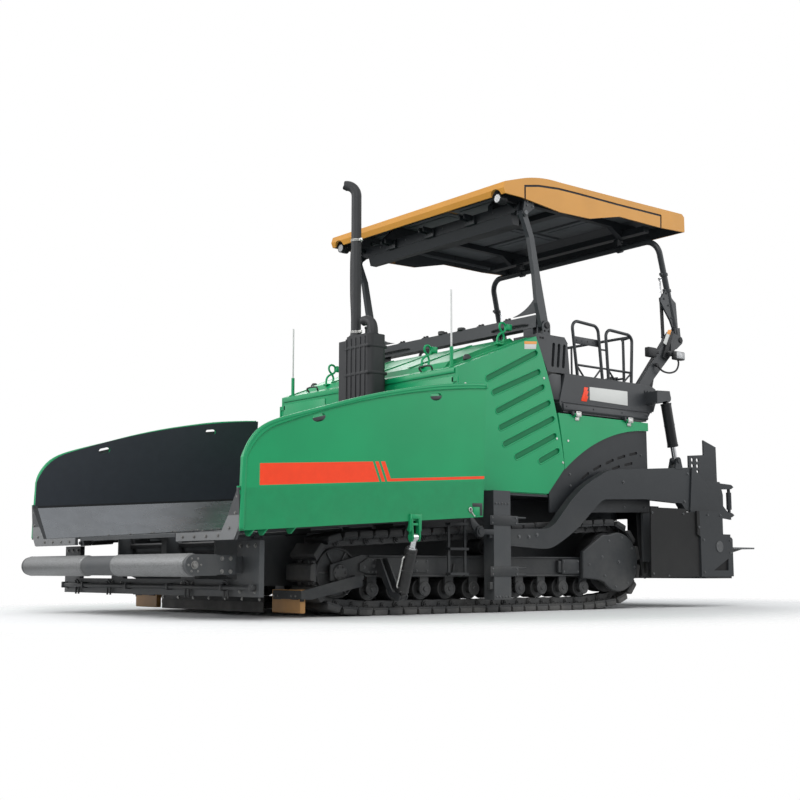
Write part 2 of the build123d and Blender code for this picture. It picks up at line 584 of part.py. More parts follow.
for name, low, high, pin, barrel_r, bore, rod_r, eye_r, eye_width, pin_r, first, last, rod_from in CYLINDERS:
    axis = Vector(high) - Vector(low)
    line = Plane(origin=low, x_dir=pin, z_dir=axis)
    with BuildPart() as barrel:
        with BuildSketch(line.offset(first)):
            Circle(barrel_r)
        extrude(amount=last - first)
        with BuildSketch(line.offset(first + 12)):
            Circle(bore)
        extrude(amount=last, mode=Mode.SUBTRACT)
        with BuildSketch(line):
            Rectangle(eye_width, 1.2 * eye_r)
        extrude(amount=first + 4)
        with BuildSketch(Plane(origin=Vector(low) - Vector(pin) * eye_width / 2, z_dir=pin)):
            Circle(eye_r)
        extrude(amount=eye_width)
        with BuildSketch(Plane(origin=Vector(low) - Vector(pin) * eye_width, z_dir=pin)):
            Circle(pin_r + RUN)
        extrude(amount=2 * eye_width, mode=Mode.SUBTRACT)
    with BuildPart() as rod:
        with BuildSketch(line.offset(rod_from)):
            Circle(rod_r)
        extrude(amount=axis.length - rod_from)
        # The rod's pin is one with its eye and stays between the lugs.
        with BuildSketch(Plane(origin=Vector(high) - Vector(pin) * eye_width / 2, z_dir=pin)):
            Circle(eye_r)
        extrude(amount=eye_width)
        if name == "strut":
            with BuildSketch(Plane(origin=high, z_dir=pin)):
                Circle(pin_r)
            extrude(amount=STRUT_PIN_LENGTH)
    if name == "wing":
        PAIRS += [("wing_barrel", barrel), ("wing_rod", rod)]
    else:
        MIRRORED += [(f"{name}_barrels", barrel), (f"{name}_rods", rod)]

# Middle stage of the wing's telescopic cylinder.
STAGE_R, STAGE_BORE = 37.7, 26
cyl_start, cyl_end = CYL_PLANE.from_local_coords(CYL_FOOT), CYL_PLANE.from_local_coords(CYL_HEAD)
cyl_line = Plane(origin=cyl_start, x_dir=CYL_PLANE.z_dir, z_dir=cyl_end - cyl_start)
with BuildPart() as wing_stage:
    with BuildSketch(cyl_line.offset(60)):
        Circle(STAGE_R)
    extrude(amount=404 - 60)
    with BuildSketch(cyl_line.offset(70)):
        Circle(STAGE_BORE)
    extrude(amount=400, mode=Mode.SUBTRACT)
PAIRS.append(("wing_stage", wing_stage))

# ---- Push rollers, their beam and the front frame -------------------------------------------------
PUSH_X, PUSH_Z, PUSH_R = 3219, 384, 81
PUSH_IN, PUSH_OUT = 246, 1312
PUSH_AXLE_R = 20
SIDE_ARM = 30
PUSH_GAP = 6
BEAM_X0, BEAM_X1 = 2890, 3050
PUSH_BEAM_BOTTOM, PUSH_BEAM_TOP = 318, 452
FRONT_PLATE_X = 2770
COLUMN_IN, COLUMN_OUT = 1245, 1530

with BuildPart() as push_roller:
    with BuildSketch(side_plane(PUSH_OUT)):
        with Locations((PUSH_X, PUSH_Z)):
            Circle(PUSH_R)
    extrude(amount=PUSH_OUT - PUSH_IN)
    fillet(push_roller.edges().filter_by(GeomType.CIRCLE), 12)
    with BuildSketch(side_plane(PUSH_OUT + PUSH_GAP + SIDE_ARM)):
        with Locations((PUSH_X, PUSH_Z)):
            Circle(PUSH_AXLE_R)
    extrude(amount=PUSH_OUT - PUSH_IN + 2 * PUSH_GAP + 2 * SIDE_ARM)
PAIRS.append(("push_roller", push_roller))

with BuildPart() as push_beam:
    with BuildSketch(side_plane(PUSH_OUT + PUSH_GAP + SIDE_ARM)):
        with Locations(((BEAM_X0 + BEAM_X1) / 2, (PUSH_BEAM_BOTTOM + PUSH_BEAM_TOP) / 2)):
            Rectangle(BEAM_X1 - BEAM_X0, PUSH_BEAM_TOP - PUSH_BEAM_BOTTOM)
    extrude(amount=2 * (PUSH_OUT + PUSH_GAP + SIDE_ARM))
    # Bearing arms at both ends of each roller.
    for face in (PUSH_OUT + PUSH_GAP + SIDE_ARM, PUSH_IN - PUSH_GAP, -PUSH_IN + PUSH_GAP + SIDE_ARM,
            -PUSH_OUT - PUSH_GAP):
        with BuildSketch(side_plane(face)):
            with Locations((PUSH_X, PUSH_Z)):
                Circle(PUSH_R - 6)
            with BuildLine():
                Polyline(
                    (PUSH_X, PUSH_Z + PUSH_R - 6), (BEAM_X1 - 10, PUSH_BEAM_TOP + 6),
                    (BEAM_X1 - 10, PUSH_BEAM_BOTTOM - 6),
                    (PUSH_X, PUSH_Z - PUSH_R + 6), close=True)
            make_face()
            with Locations((PUSH_X, PUSH_Z)):
                Circle(PUSH_AXLE_R + RUN, mode=Mode.SUBTRACT)
        extrude(amount=SIDE_ARM)
    # Round cover between the two inner arms.
    with BuildSketch(side_plane(PUSH_IN - PUSH_GAP - SIDE_ARM)):
        with Locations((PUSH_X, PUSH_Z)):
            Circle(PUSH_R - 6)
            Circle(PUSH_R - 16, mode=Mode.SUBTRACT)
        with Locations((PUSH_X - PUSH_R, PUSH_Z)):
            Rectangle(2 * PUSH_R, 2 * PUSH_R, mode=Mode.SUBTRACT)
    extrude(amount=2 * (PUSH_IN - PUSH_GAP - SIDE_ARM))
    # Struts back to the front cross plate of the main frame.
    for side in (1, -1):
        with BuildSketch(side_plane(side * 560 + 70)):
            with Locations(((FRAME_FRONT + BEAM_X0) / 2, 390)):
                Rectangle(BEAM_X0 - FRAME_FRONT, 90)
        extrude(amount=140)
    # Front frame: a low bar with a column at each end and arms that tie it to the beam.
    with BuildSketch(Plane(origin=(FRONT_PLATE_X, 0, 0), x_dir=(0, 1, 0), z_dir=(1, 0, 0))):
        with Locations((0, 222)):
            Rectangle(2 * COLUMN_OUT, 122)
        for side in (1, -1):
            with Locations((side * (COLUMN_IN + COLUMN_OUT) / 2, (162 + 556) / 2)):
                Rectangle(COLUMN_OUT - COLUMN_IN, 556 - 162)
            with Locations((side * 560, 320)):
                Rectangle(200, 180)
    extrude(amount=40)
    for side in (1, -1):
        with BuildSketch(side_plane(side * 1300 + 15)):
            with Locations(((FRONT_PLATE_X + BEAM_X0) / 2 + 20, 385)):
                Rectangle(BEAM_X0 - FRONT_PLATE_X - 30, 120)
        extrude(amount=30)
CENTRE.append(("push_beam", push_beam))

# ---- Scrapers in front of the tracks, and the rubber apron between them --------------------------
with BuildPart() as scraper_block:
    with BuildSketch(side_plane(SCRAPER_OUT)):
        with Locations((SCRAPER_X + SCRAPER_THICK / 2, (SCRAPER_BOTTOM + SCRAPER_TOP) / 2)):
            Rectangle(SCRAPER_THICK, SCRAPER_TOP - SCRAPER_BOTTOM)
    extrude(amount=SCRAPER_OUT - SCRAPER_IN)
    chamfer(scraper_block.edges().filter_by(Axis.Y).group_by(Axis.Z)[0], 8)
MIRRORED.append(("scraper_blocks", scraper_block))

APRON_X, APRON_BOTTOM = 2257, 30
with BuildPart() as front_apron:
    with BuildSketch(Plane.XY.offset(APRON_BOTTOM)):
        with Locations((APRON_X + 6, 0)):
            Rectangle(12, 2 * FRAME_OUT)
    extrude(amount=FRAME_BOTTOM - APRON_BOTTOM)
CENTRE.append(("front_apron", front_apron))

# ---- Engine hood, side doors and engine --------------------------------------------------------------
HOOD_FRONT = 700
HOOD_REAR_TOP = -248
HOOD_FRONT_TOP_Z, HOOD_REAR_TOP_Z = 2036, 2404
HOOD_REAR_LOW_X, HOOD_REAR_LOW_Z = -591, 1250
HOOD_TAIL_X = -382
DOOR = 20
HOOD_OUT = BODY_OUT
DOOR_OUT = HOOD_OUT + 2 + DOOR
DOOR_BOTTOM = DECK_TOP + 8
DOOR_HINGE_X, DOOR_HINGE_Y = HOOD_FRONT + 2, DOOR_OUT + 14
DOOR_HINGES = (1540, 1850)  # bottoms of the door's knuckles
ROD_X, ROD_Y = 655, 1160
ROD_POST_TOP = 2225
SHEET = 20
LOUVRES = (
    # front end x, z, rear end x, z
    (370, 1961, -265, 2263), (301, 1847, -299, 2097), (256, 1690, -347, 1967), (222, 1550, -421, 1831),
    (177, 1410, -469, 1692), (35, 1310, -491, 1542), (-258, 1290, -526, 1411))
LOUVRE_R = 26
LOUVRE_DEPTH = 12


def hood_outline(inset):
    """Side outline of the hood, moved inwards."""
    with BuildSketch() as outline:
        with BuildLine():
            rear = ThreePointArc(
                (HOOD_REAR_TOP, HOOD_REAR_TOP_Z), (-488, 1766), (HOOD_REAR_LOW_X, HOOD_REAR_LOW_Z))
            Polyline(
                rear @ 1, (HOOD_TAIL_X, DECK_TOP + 18), (HOOD_TAIL_X + 6, DECK_TOP), (HOOD_FRONT, DECK_TOP),
                (HOOD_FRONT, HOOD_FRONT_TOP_Z), rear @ 0)
        make_face()
        if inset:
            offset(amount=-inset, kind=Kind.INTERSECTION)
    return outline.sketch


with BuildPart() as hood:
    with BuildSketch(side_plane(HOOD_OUT)):
        add(hood_outline(0))
        add(hood_outline(SHEET), mode=Mode.SUBTRACT)
    extrude(amount=2 * HOOD_OUT)
    # Raised middle of the bonnet.
    with BuildSketch(side_plane(1010)):
        with BuildLine():
            Polyline(
                (610, 2071 - 6), (560, 2071 + 56), (-190, 2381 + 36), (-230, 2381 + 12), close=True)
        make_face()
    extrude(amount=2020)
    # Posts of the marker rods, and the hinges of the side doors.
    for side in (1, -1):
        with BuildSketch(Plane.XY.offset(HOOD_FRONT_TOP_Z)):
            with Locations((ROD_X, side * ROD_Y)):
                Circle(16)
        extrude(amount=ROD_POST_TOP - HOOD_FRONT_TOP_Z)
        for z in DOOR_HINGES:
            with BuildSketch(Plane.XY.offset(z - 40)):
                with Locations((DOOR_HINGE_X, side * DOOR_HINGE_Y)):
                    Circle(6)
            extrude(amount=140)
            for low in (z - 40, z + 61):
                with BuildSketch(Plane.XY.offset(low)):
                    with Locations((DOOR_HINGE_X, side * DOOR_HINGE_Y)):
                        Circle(11)
                    with Locations((HOOD_FRONT + 4, side * (HOOD_OUT - 20))):
                        Rectangle(8, 40)
                    with Locations((HOOD_FRONT + 5, side * (DOOR_HINGE_Y + HOOD_OUT) / 2)):
                        Rectangle(6, DOOR_HINGE_Y - HOOD_OUT)
                extrude(amount=39)
CENTRE.append(("hood", hood))

with BuildPart() as marker_rod:
    with BuildSketch(Plane.XY.offset(ROD_POST_TOP)):
        with Locations((ROD_X, ROD_Y)):
            Circle(8)
    extrude(amount=2717 - ROD_POST_TOP)
MIRRORED.append(("marker_rods", marker_rod))

with BuildPart() as side_door:
    with BuildSketch(side_plane(DOOR_OUT)):
        add(hood_outline(0))
        with Locations((0, DECK_TOP)):
            Rectangle(2000, 2 * (DOOR_BOTTOM - DECK_TOP), mode=Mode.SUBTRACT)
    extrude(amount=DOOR)
    for x0, z0, x1, z1 in LOUVRES:
        with BuildSketch(side_plane(DOOR_OUT)):
            with Locations(((x0 + x1) / 2, (z0 + z1) / 2)):
                SlotCenterToCenter(hypot(x1 - x0, z1 - z0) - 2 * LOUVRE_R, 2 * LOUVRE_R,
                                   rotation=degrees(atan2(z1 - z0, x1 - x0)))
        extrude(amount=LOUVRE_DEPTH, mode=Mode.SUBTRACT)
    for z in DOOR_HINGES:
        with BuildSketch(Plane.XY.offset(z)):
            with Locations((DOOR_HINGE_X, DOOR_HINGE_Y)):
                Circle(11)
            with Locations((DOOR_HINGE_X - 11, DOOR_OUT + 5)):
                Rectangle(20, 12)
            with Locations((DOOR_HINGE_X, DOOR_HINGE_Y)):
                Circle(6 + RUN, mode=Mode.SUBTRACT)
        extrude(amount=60)
PAIRS.append(("side_door", side_door))

with BuildPart() as engine:
    with BuildSketch(Plane.XY.offset(DECK_TOP + SHEET)):
        with Locations((120, 0)):
            Rectangle(800, 1500)
    extrude(amount=760)
    chamfer(engine.edges().group_by(Axis.Z)[-1], 60)
CENTRE.append(("engine", engine))

# ---- Exhaust stack in front of the hood ---------------------------------------------------------------
STACK_X, STACK_Y = 862, 110
PIPE_R = 46
PIPE_TOP = 3740
with BuildPart() as exhaust:
    with BuildSketch(Plane.XY.offset(1700)):
        with Locations((STACK_X - 10, STACK_Y + 130)):
            RectangleRounded(210, 360, 60)
    extrude(amount=720)
    with BuildSketch(Plane.XY.offset(1700)):
        with Locations((STACK_X + 30, STACK_Y - 60)):
            RectangleRounded(120, 200, 40)
    extrude(amount=690)
    with BuildLine() as pipe_path:
        up = Line((STACK_X, STACK_Y, 2350), (STACK_X, STACK_Y, PIPE_TOP))
        bend = TangentArc(up @ 1, (STACK_X + 55, STACK_Y - 92, PIPE_TOP + 107), tangent=(0, 0, 1))
    with BuildSketch(Plane(origin=up @ 0, z_dir=(0, 0, 1))):
        Circle(PIPE_R)
    sweep(path=pipe_path.line)
    # Open mouth of the pipe.
    with BuildSketch(Plane(origin=bend @ 1, z_dir=bend % 1)):
        Circle(PIPE_R - 6)
    extrude(amount=-25, mode=Mode.SUBTRACT)
    for z in (1800, 2250):
        with BuildSketch(side_plane(STACK_Y + 130 + 30)):
            with Locations(((HOOD_FRONT + STACK_X - 100) / 2, z)):
                Rectangle(STACK_X - 100 - HOOD_FRONT, 60)
        extrude(amount=60)
CENTRE.append(("exhaust", exhaust))

# ---- Fenders, flaps and platform ------------------------------------------------------------------
FLAP_TOP = 1742
FLAP_REAR = -1765
FENDER_REAR = -1770
FENDER_IN = 1000
FENDER_TAIL_X = HOOD_TAIL_X - 14
FLAP = 20
FLAP_HINGE_Y, FLAP_HINGE_Z = DOOR_OUT + 14, FLAP_TOP + 2
FLAP_HINGES = (-760, -1480)
PLATFORM = 1770
SEAM = 6                    # gap between neighbouring doors and flaps
ARCH = ((HOOD_REAR_LOW_X - 6, 1244), (-980, 1484), (FLAP_REAR, 1666))

# Middle x, z and tilt of each vent slot.
FENDER_VENTS = (
    (-885, 1196, -32), (-1050, 1280, -24), (-1225, 1345, -20), (-1390, 1396, -16), (-1560, 1436, -12),
    (-1310, 1292, -17), (-1490, 1336, -12))

with BuildPart() as fender:
    with BuildSketch(side_plane(BODY_OUT)):
        with BuildLine():
            arch = ThreePointArc(*ARCH)
            Polyline(
                arch @ 1, (FENDER_REAR, DECK_TOP), (FENDER_TAIL_X, DECK_TOP), (FENDER_TAIL_X, DECK_TOP + 20),
                arch @ 0)
        make_face()
    extrude(amount=BODY_OUT - FENDER_IN)
    # Lower edge, hung outside the deck.
    with BuildSketch(side_plane(BODY_OUT + 14)):
        with BuildLine():
            Polyline(
                (FENDER_TAIL_X, DECK_TOP + 26), (FENDER_TAIL_X, 852), (-1666, 890), (FENDER_REAR, 890),
                (FENDER_REAR, DECK_TOP + 26), close=True)
        make_face()
    extrude(amount=14)
    # Rows of vent slots.
    for x, z, tilt in FENDER_VENTS:
        with BuildSketch(side_plane(BODY_OUT)):
            with Locations((x, z)):
                SlotOverall(120, 26, rotation=tilt)
        extrude(amount=8, mode=Mode.SUBTRACT)
MIRRORED.append(("fenders", fender))

with BuildPart() as side_flap:
    with BuildSketch(side_plane(DOOR_OUT)):
        with BuildLine():
            arch = ThreePointArc(*ARCH)
            back = ThreePointArc((-513 - SEAM, FLAP_TOP), (-563, 1504), ARCH[0])
            Polyline(arch @ 1, (FLAP_REAR, FLAP_TOP), back @ 0)
        make_face()
    extrude(amount=FLAP)
    for x in FLAP_HINGES:
        with BuildSketch(Plane.YZ.offset(x)):
            with Locations((FLAP_HINGE_Y, FLAP_HINGE_Z)):
                Circle(12)
            with Locations((DOOR_OUT + 5, FLAP_HINGE_Z - 12)):
                Rectangle(12, 24)
            with Locations((FLAP_HINGE_Y, FLAP_HINGE_Z)):
                Circle(6 + RUN, mode=Mode.SUBTRACT)
        extrude(amount=50)
PAIRS.append(("side_flap", side_flap))

with BuildPart() as platform:
    # Floor, and the closed tank block under it between the fenders.
    with BuildSketch(Plane.XY.offset(PLATFORM - 12)):
        with Locations(((-610 + FENDER_REAR) / 2, 0)):
            Rectangle(-610 - FENDER_REAR, 2 * BODY_OUT)
    extrude(amount=12)
    with BuildSketch(Plane.XY.offset(DECK_TOP)):
        with Locations(((-610 + FENDER_REAR) / 2, 0)):
            Rectangle(-610 - FENDER_REAR, 2 * FENDER_IN)
    extrude(amount=PLATFORM - DECK_TOP)
    for side in (1, -1):
        for x in FLAP_HINGES:
            with BuildSketch(Plane.YZ.offset(x - 26)):
                with Locations((side * FLAP_HINGE_Y, FLAP_HINGE_Z)):
                    Circle(6)
            extrude(amount=102)
            for start in (x - 26, x + 51):
                with BuildSketch(Plane.YZ.offset(start)):
                    with Locations((side * FLAP_HINGE_Y, FLAP_HINGE_Z)):
                        Circle(12)
                    with Locations((side * (FLAP_HINGE_Y + BODY_OUT - 20) / 2, PLATFORM - 6)):
                        Rectangle(FLAP_HINGE_Y - BODY_OUT + 20, 12)
                    with Locations((side * FLAP_HINGE_Y, (FLAP_HINGE_Z + PLATFORM) / 2)):
                        Rectangle(16, PLATFORM - FLAP_HINGE_Z)
                extrude(amount=25)
CENTRE.append(("platform", platform))

# ---- Side consoles with the louvred cowls behind the bonnet and the brackets of the lift cylinders -----
CONSOLE_IN = 1150
CONSOLE_TOP = 2108
COWL_TOP = 2440
PIN_GAP = 28                # from the middle of a cylinder's eye to the lugs beside it
LUG = 16
with BuildPart() as side_console:
    with BuildSketch(side_plane(BODY_OUT)):
        with BuildLine():
            Polyline(
                (-640, CONSOLE_TOP), (-1860, CONSOLE_TOP), (-1920, CONSOLE_TOP - 26),
                (-1940, CONSOLE_TOP - 110),
                (-1880, 1862), (-1840, 1856), (-1770, PLATFORM), (-604, PLATFORM), (-560, 1840), close=True)
        make_face()
    extrude(amount=BODY_OUT - CONSOLE_IN)
    with BuildSketch(side_plane(BODY_OUT - 10)):
        with BuildLine():
            Polyline(
                (-300, 2362), (-300, COWL_TOP), (-650, COWL_TOP), (-690, 2390), (-716, CONSOLE_TOP - 2),
                (-640, CONSOLE_TOP - 2), (-640, CONSOLE_TOP + 4), (-425, CONSOLE_TOP + 4), close=True)
        make_face()
    extrude(amount=300)
    with BuildSketch(side_plane(BODY_OUT - 10)):
        for x in (-500, -570, -640):
            with Locations((x, 2270)):
                SlotCenterToCenter(190, 34, rotation=96)
    extrude(amount=30, mode=Mode.SUBTRACT)
    for face in (LIFT_Y + PIN_GAP + LUG, LIFT_Y - PIN_GAP):
        with BuildSketch(side_plane(face)):
            with Locations((LIFT_HEAD_X, LIFT_HEAD_Z)):
                Circle(38)
            with BuildLine():
                Polyline(
                    (LIFT_HEAD_X - 38, LIFT_HEAD_Z), (LIFT_HEAD_X - 20, LIFT_HEAD_Z + 70),
                    (LIFT_HEAD_X + 170, LIFT_HEAD_Z + 60), (LIFT_HEAD_X + 170, LIFT_HEAD_Z - 60),
                    (LIFT_HEAD_X + 30, LIFT_HEAD_Z - 30), close=True)
            make_face()
        extrude(amount=LUG)
    with BuildSketch(side_plane(LIFT_Y + PIN_GAP)):
        with Locations((LIFT_HEAD_X, LIFT_HEAD_Z)):
            Circle(LIFT_PIN_R)
    extrude(amount=2 * PIN_GAP)
    with BuildSketch(side_plane(LIFT_Y + PIN_GAP + LUG)):
        with Locations((LIFT_HEAD_X + 130, LIFT_HEAD_Z)):
            Rectangle(80, 110)
    extrude(amount=LIFT_Y + PIN_GAP + LUG - BODY_OUT + 10)
MIRRORED.append(("side_consoles", side_console))

# ---- Canopy carriers: cross beam on the cowls, slanted arms at the rear ---------------------------------
FOLD_DX, FOLD_DZ = 250, 1000        # from a lower to an upper pivot of the canopy's links
POST_X, POST_Z = -430, 2530
LINK_Y = 1200
POST_WIDTH = 44
EAR = 14
EAR_HALF = POST_WIDTH / 2 + 4
FOLD_PIN_R = 16
BEAM_HALF = LINK_Y - EAR_HALF - EAR

with BuildPart() as canopy_beam:
    with BuildSketch(side_plane(BEAM_HALF)):
        with BuildLine():
            Polyline((-370, 2520), (-380, 2636), (-480, 2636), (-480, 2520), close=True)
        make_face()
    extrude(amount=2 * BEAM_HALF)
    for side in (1, -1):
        with BuildSketch(side_plane(side * (BEAM_HALF - 100) + 60)):
            with Locations((-420, (COWL_TOP + 2526) / 2)):
                Rectangle(90, 2526 - COWL_TOP)
        extrude(amount=120)
        # Ears with the pin of the post, the outer one carried by a foot under the post.
        for face in (side * LINK_Y + EAR_HALF + EAR, side * LINK_Y - EAR_HALF):
            with BuildSketch(side_plane(face)):
                with Locations((POST_X, POST_Z)):
                    Circle(46)
                with Locations((POST_X, POST_Z - 44)):
                    Rectangle(92, 88)
            extrude(amount=EAR)
        with BuildSketch(side_plane(side * LINK_Y + EAR_HALF + EAR)):
            with Locations((POST_X, POST_Z)):
                Circle(FOLD_PIN_R)
            with Locations((POST_X, POST_Z - 80)):
                Rectangle(92, 16)
        extrude(amount=2 * (EAR_HALF + EAR))
CENTRE.append(("canopy_beam", canopy_beam))

# Rear arm: a slanted box that ends clear of the hoop's foot, between two ears.
with BuildPart() as canopy_arm:
    with BuildSketch(side_plane(LINK_Y + EAR_HALF)):
        with BuildLine():
            Polyline(
                (-1700, CONSOLE_TOP), (HOOP_X + 128, HOOP_Z + 80), (HOOP_X + 74, HOOP_Z + 64),
                (HOOP_X + 56, HOOP_Z - 20), (HOOP_X + 60, HOOP_Z - 96), (-1850, CONSOLE_TOP), close=True)
        make_face()
    extrude(amount=2 * EAR_HALF)
    for face in (LINK_Y + EAR_HALF + EAR, LINK_Y - EAR_HALF):
        with BuildSketch(side_plane(face)):
            with BuildLine():
                Polyline(
                    (HOOP_X + 100, HOOP_Z + 60), (HOOP_X + 28, HOOP_Z + 40), (HOOP_X, HOOP_Z + 42),
                    (HOOP_X - 30, HOOP_Z + 30), (HOOP_X - 42, HOOP_Z), (HOOP_X - 30, HOOP_Z - 30),
                    (HOOP_X + 60, HOOP_Z - 96), (HOOP_X + 150, HOOP_Z - 120), (HOOP_X + 150, HOOP_Z + 40),
                    close=True)
            make_face()
        extrude(amount=EAR)
    with BuildSketch(side_plane(LINK_Y + EAR_HALF)):
        with Locations((HOOP_X, HOOP_Z)):
            Circle(FOLD_PIN_R)
    extrude(amount=2 * EAR_HALF)
    with BuildSketch(side_plane(LINK_Y)):
        with Locations((STRUT_LOW_X, STRUT_LOW_Z)):
            Circle(STRUT_PIN_R)
    extrude(amount=LINK_Y - STRUT_Y + 14)
    with BuildSketch(side_plane(STRUT_Y - 11)):
        with Locations((STRUT_LOW_X, STRUT_LOW_Z)):
            Circle(STRUT_PIN_R + 5)
    extrude(amount=4)
MIRRORED.append(("canopy_arms", canopy_arm))

# ---- Front posts and rear hoop of the canopy ----------------------------------------------------------
POST_TOP_X, POST_TOP_Z = POST_X + FOLD_DX, POST_Z + FOLD_DZ
with BuildPart() as front_post:
    with BuildSketch(side_plane(LINK_Y + POST_WIDTH / 2)):
        with BuildLine():
            Polyline(
                (POST_X - 44, POST_Z + 10), (POST_X + 52, POST_Z + 430), (POST_X + 130, POST_Z + 800),
                (POST_TOP_X - 34, POST_TOP_Z + 4), (POST_TOP_X - 20, POST_TOP_Z + 26),
                (POST_TOP_X + 20, POST_TOP_Z + 26),
                (POST_TOP_X + 34, POST_TOP_Z), (POST_X + 188, POST_Z + 790), (POST_X + 128, POST_Z + 460),
                (POST_X + 100, POST_Z + 200), (POST_X + 44, POST_Z - 10), (POST_X, POST_Z - 40), close=True)
        make_face()
        with Locations((POST_X, POST_Z), (POST_TOP_X, POST_TOP_Z)):
            Circle(FOLD_PIN_R + RUN, mode=Mode.SUBTRACT)
    extrude(amount=POST_WIDTH)
    # Gusset on the inner side, clear of the beam it swings round.
    with BuildSketch(Plane.YZ.offset(POST_X + 28)):
        with BuildLine():
            foot = Line((LINK_Y - 340, POST_Z + 126), (LINK_Y - 10, POST_Z + 126))
            side = Line(foot @ 1, (LINK_Y - 10, POST_Z + 410))
            Spline(side @ 1, (LINK_Y - 60, POST_Z + 270), (LINK_Y - 170, POST_Z + 180), foot @ 0)
        make_face()
    extrude(amount=20)
MIRRORED.append(("front_posts", front_post))

HOOP_TOP_X, HOOP_TOP_Z = HOOP_X + FOLD_DX, HOOP_Z + FOLD_DZ
HOOP_TUBE_R = 30
HOOP_BEND = 150
HOOP_TOP_Y = LINK_Y - 20
with BuildPart() as rear_hoop:
    with BuildLine() as hoop_path:
        FilletPolyline(
            (HOOP_X + 14, LINK_Y, HOOP_Z + 60), (HOOP_TOP_X, HOOP_TOP_Y, HOOP_TOP_Z),
            (HOOP_TOP_X, -HOOP_TOP_Y, HOOP_TOP_Z), (HOOP_X + 14, -LINK_Y, HOOP_Z + 60), radius=HOOP_BEND)
    with BuildSketch(Plane(origin=hoop_path.line @ 0, z_dir=hoop_path.line % 0)):
        Circle(HOOP_TUBE_R)
    sweep(path=hoop_path.line)
    for side in (1, -1):
        with BuildSketch(side_plane(side * LINK_Y + 22)):
            with Locations((HOOP_X, HOOP_Z)):
                Circle(36)
            with BuildLine():
                Polyline(
                    (HOOP_X - 36, HOOP_Z), (HOOP_X - 22, HOOP_Z + 130), (HOOP_X + 62, HOOP_Z + 118),
                    (HOOP_X + 36, HOOP_Z), close=True)
            make_face()
            with Locations((HOOP_X, HOOP_Z)):
                Circle(FOLD_PIN_R + RUN, mode=Mode.SUBTRACT)
        extrude(amount=44)
        # Stiffening plate along the leg.
        with BuildSketch(side_plane(side * LINK_Y + 10)):
            with BuildLine():
                Polyline(
                    (HOOP_X - 10, HOOP_Z + 100), (HOOP_X + 14, HOOP_Z + 380), (HOOP_X + 60, HOOP_Z + 410),
                    (HOOP_X + 150, HOOP_Z + 484), (HOOP_X + 180, HOOP_Z + 480), (HOOP_X + 256, HOOP_Z + 390),
                    (HOOP_X + 250, HOOP_Z + 360), (HOOP_X + 108, HOOP_Z + 192), (HOOP_X + 60, HOOP_Z + 100),
                    close=True)
            make_face()
        extrude(amount=20)
CENTRE.append(("rear_hoop", rear_hoop))

# ---- Canopy roof -----------------------------------------------------------------------------------
ROOF_HALF = 1265
ROOF_SHELL = 14
ROOF_FRONT_X, ROOF_REAR_X = 120, -2440
ROOF_CEILING = 3850
GROOVE_DEPTH = 6
GROOVE_WIDTH = 20
# Points of the groove: x, height over the ceiling.
ROOF_GROOVE = (
    (-150, -206), (-151, -86), (-331, -50), (-592, -26), (-861, -21), (-1424, -19), (-1718, -14), (-2068, -9),
    (-2063, -132))
LAMP_X, LAMP_Y, LAMP_Z = 0, 1150, ROOF_CEILING - 220
LAMP_R = 44
LAMP_STEM_X = POST_TOP_X - 10
with BuildPart() as canopy_roof:
    with BuildSketch(side_plane(ROOF_HALF)):
        with BuildLine():
            crown = ThreePointArc(
                (-90, ROOF_CEILING - 30), (-300, ROOF_CEILING + 20), (-600, ROOF_CEILING + 38))
            rear_crown = ThreePointArc(crown @ 1, (-1500, ROOF_CEILING + 52), (-2405, ROOF_CEILING + 68))
            Polyline(
                rear_crown @ 1, (ROOF_REAR_X, ROOF_CEILING + 40), (ROOF_REAR_X, ROOF_CEILING - 114),
                (-2035, ROOF_CEILING - 134), (-1438, ROOF_CEILING - 134), (-1009, ROOF_CEILING - 232),
                (-603, ROOF_CEILING - 244), (-100, ROOF_CEILING - 198),
                (ROOF_FRONT_X - 20, ROOF_CEILING - 198),
                (ROOF_FRONT_X, ROOF_CEILING - 150), (ROOF_FRONT_X - 20, ROOF_CEILING - 90), crown @ 0)
        make_face()
    extrude(amount=2 * ROOF_HALF)
    # Hollow underneath, with a flat ceiling.
    with BuildSketch(side_plane(ROOF_HALF - ROOF_SHELL)):
        with BuildLine():
            Polyline(
                (ROOF_REAR_X + ROOF_SHELL, ROOF_CEILING), (ROOF_REAR_X + ROOF_SHELL, ROOF_CEILING - 350),
                (ROOF_FRONT_X - 34, ROOF_CEILING - 350), (ROOF_FRONT_X - 34, ROOF_CEILING - 120),
                (-100, ROOF_CEILING - 58), (-330, ROOF_CEILING), close=True)
        make_face()
    extrude(amount=2 * (ROOF_HALF - ROOF_SHELL), mode=Mode.SUBTRACT)
    # Groove pressed into both sides, and the notches in front of the lamps.
    for face in (ROOF_HALF, -ROOF_HALF + GROOVE_DEPTH):
        for (x0, dz0), (x1, dz1) in zip(ROOF_GROOVE, ROOF_GROOVE[1:]):
            with BuildSketch(side_plane(face)):
                with Locations(((x0 + x1) / 2, ROOF_CEILING + (dz0 + dz1) / 2)):
                    SlotCenterToCenter(
                        hypot(x1 - x0, dz1 - dz0), GROOVE_WIDTH, rotation=degrees(atan2(dz1 - dz0, x1 - x0)))
            extrude(amount=GROOVE_DEPTH, mode=Mode.SUBTRACT)
    with BuildSketch(Plane.YZ.offset(ROOF_FRONT_X - 60)):
        with Locations((LAMP_Y, LAMP_Z + 10), (-LAMP_Y, LAMP_Z + 10)):
            Circle(LAMP_R + 22)
    extrude(amount=80, mode=Mode.SUBTRACT)
CENTRE.append(("canopy_roof", canopy_roof))

